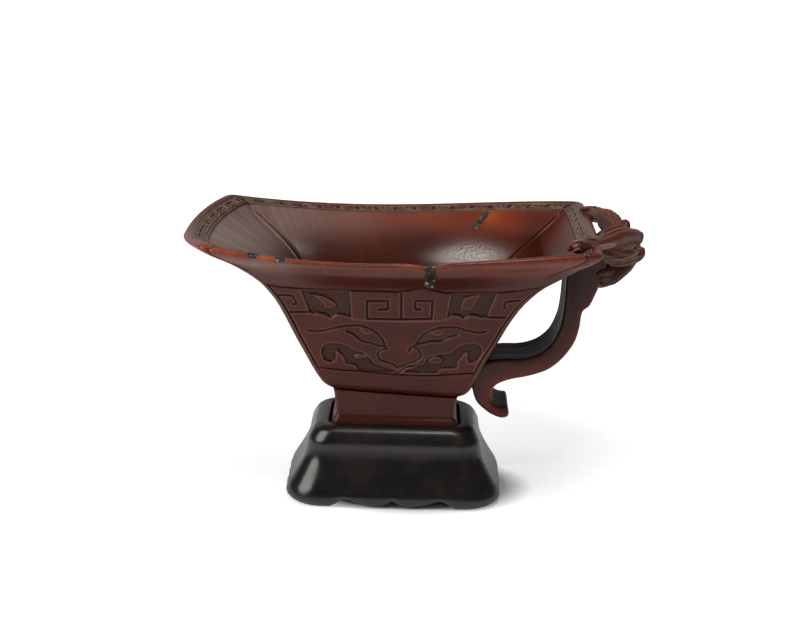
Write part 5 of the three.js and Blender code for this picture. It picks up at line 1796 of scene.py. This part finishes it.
class HORNCUP_OT_fills(bpy.types.Operator):
    """Make the four resin fills of old damage in the rim and the rear wall"""
    bl_idname = "horncup.fills"
    bl_label = "Fills"

    ROW_LENGTH = 0.2
    COLUMNS = 32
    THICKNESS = 0.9
    NOTCH_FILL_BOTTOM = 0.735 * BOWL_HEIGHT
    EDGE_FILL_BOTTOM = 0.978 * BOWL_HEIGHT
    EDGE_FILLS_X = (-44.8, -36.0)
    WALL_FILL_X = 29.0
    # From the rear wall's top down: where its fill begins and ends.
    WALL_FILL_SPAN = (0.5, 6.8)

    def execute(self, context):
        over_rim = [[RIM_HALF_LENGTH - inset, BOWL_HEIGHT + lift] for inset, lift in RIM_ROLL[::-1]]
        lips = [np.vstack([over_rim, RIB[RIB[:, 1] > bottom][::-1][1:]])
                for bottom in (self.NOTCH_FILL_BOTTOM, self.EDGE_FILL_BOTTOM)]
        self.patch("notch_fill", "rim_fill_front", FRONT, lips[0], NOTCH_X, half_width=2.0, proud=0.2,
                   flecks=1.0)
        for i, x in enumerate(self.EDGE_FILLS_X):
            self.patch(f"edge_fill_{i + 1}", f"rim_fill_left_{i + 1}", FRONT, lips[1], x, half_width=1.7,
                       proud=0.16, flecks=0.1)
        heights = np.linspace(*(INNER_TOP - drop for drop in self.WALL_FILL_SPAN), 40)
        wall = np.stack([rib_half(heights) - WALL, heights], -1)
        self.patch("wall_fill", "wall_fill_rear", REAR, wall, self.WALL_FILL_X, half_width=1.2, proud=0.2,
                   flecks=0.7, lean=0.5)
        return {"FINISHED"}

    def patch(self, name, node, side, profile, x, half_width, proud, flecks, lean=0.0):
        """A thin slab that follows the cup's surface, with a ragged outline and a rough face."""
        run = np.r_[0, np.cumsum(np.linalg.norm(np.diff(profile, axis=0), axis=1))]
        rows, columns = max(int(run[-1] / self.ROW_LENGTH), 12), self.COLUMNS
        levels = np.stack([np.interp(np.linspace(0, run[-1], rows), run, profile[:, k]) for k in (0, 1)], -1)
        grid = np.zeros((rows, columns, 3))
        for r, (half, height) in enumerate(levels):
            share = r / (rows - 1)
            narrow = min(1.0, 6 * min(share + 0.06, 1.06 - share))
            middle = x - lean * (run[-1] * share - run[-1] / 2)
            left, right = (0.85 + 0.55 * noise.noise(Vector((x + k, r * 0.13, 0))) for k in (0, 7))
            u = middle + half_width * narrow * np.linspace(-left, right, columns)
            grid[r] = side_point(side, shares_at(side, half, height, u), half, corner_depth(half), height)
        if side is REAR:
            self.lay_on_bowl(grid)
        normals = grid_normals(grid, False)
        outward = np.array([0, -1.0, -0.3]) if side is FRONT else np.array([0, -1.0, 0.8])
        if normals[rows // 2, columns // 2] @ outward < 0:
            normals = -normals
        rough = np.array([[noise.noise(Vector(p) * 1.6) for p in row] for row in grid])
        edge = np.minimum.outer(near_edge(rows), near_edge(columns))
        raised = proud * rise(edge, -0.6, 2.0) + 0.14 * rough * smooth(edge / 3)
        points, faces = slab(grid + normals * raised[..., None], grid - normals * self.THICKNESS)
        across, down = np.meshgrid(np.linspace(-1, 1, columns), np.linspace(0, 1, rows))
        tones = {"fleck": flecks * np.maximum(bump(across + 0.7, 0.4) * bump(down - 0.8, 0.14),
                                              bump(across - 0.55, 0.4) * bump(down - 0.93, 0.08))}
        piece = make_piece(name, points, faces, tones, hubs=len(points) - rows * columns)
        recalculate_normals(piece.data)
        finish_piece(piece, "cup", "dark_fill", fill_material(), node)

    def lay_on_bowl(self, grid):
        """Moves each point of a grid to the nearest place on the bowl's surface."""
        bowl = bpy.data.objects["bowl_shell"]
        bpy.context.view_layer.update()
        for point in grid.reshape(-1, 3):
            found = bowl.closest_point_on_mesh(Vector((point + ORIGIN) * MM))[1]
            point[:] = np.array(found) / MM - ORIGIN


# The add-on's panel and registration

class HORNCUP_PT_panel(bpy.types.Panel):
    """The steps that build the cup, in order"""
    bl_label = "Horn Cup"
    bl_idname = "HORNCUP_PT_panel"
    bl_space_type = "VIEW_3D"
    bl_region_type = "UI"
    bl_category = "Horn Cup"

    def draw(self, context):
        for operator in OPERATORS:
            self.layout.operator(operator.bl_idname)
        for group in (context.scene.horn_cup_sizes, context.scene.horn_cup_colours,
                      context.scene.horn_cup_stage):
            box = self.layout.box()
            for name in group.__annotations__:
                box.prop(group, name)


OPERATORS = (HORNCUP_OT_stage, HORNCUP_OT_stand, HORNCUP_OT_bowl, HORNCUP_OT_panels, HORNCUP_OT_fret,
             HORNCUP_OT_handle, HORNCUP_OT_dragons, HORNCUP_OT_fills)
CLASSES = (CupSizes, CupColours, StageSettings) + OPERATORS + (HORNCUP_PT_panel,)


def register():
    for item in CLASSES:
        bpy.utils.register_class(item)
    bpy.types.Scene.horn_cup_sizes = PointerProperty(type=CupSizes)
    bpy.types.Scene.horn_cup_colours = PointerProperty(type=CupColours)
    bpy.types.Scene.horn_cup_stage = PointerProperty(type=StageSettings)


def unregister():
    del bpy.types.Scene.horn_cup_stage
    del bpy.types.Scene.horn_cup_colours
    del bpy.types.Scene.horn_cup_sizes
    for item in reversed(CLASSES):
        bpy.utils.unregister_class(item)


def main():
    register()
    for operator in OPERATORS:
        group, name = operator.bl_idname.split(".")
        getattr(getattr(bpy.ops, group), name)()


if __name__ == "__main__":
    main()
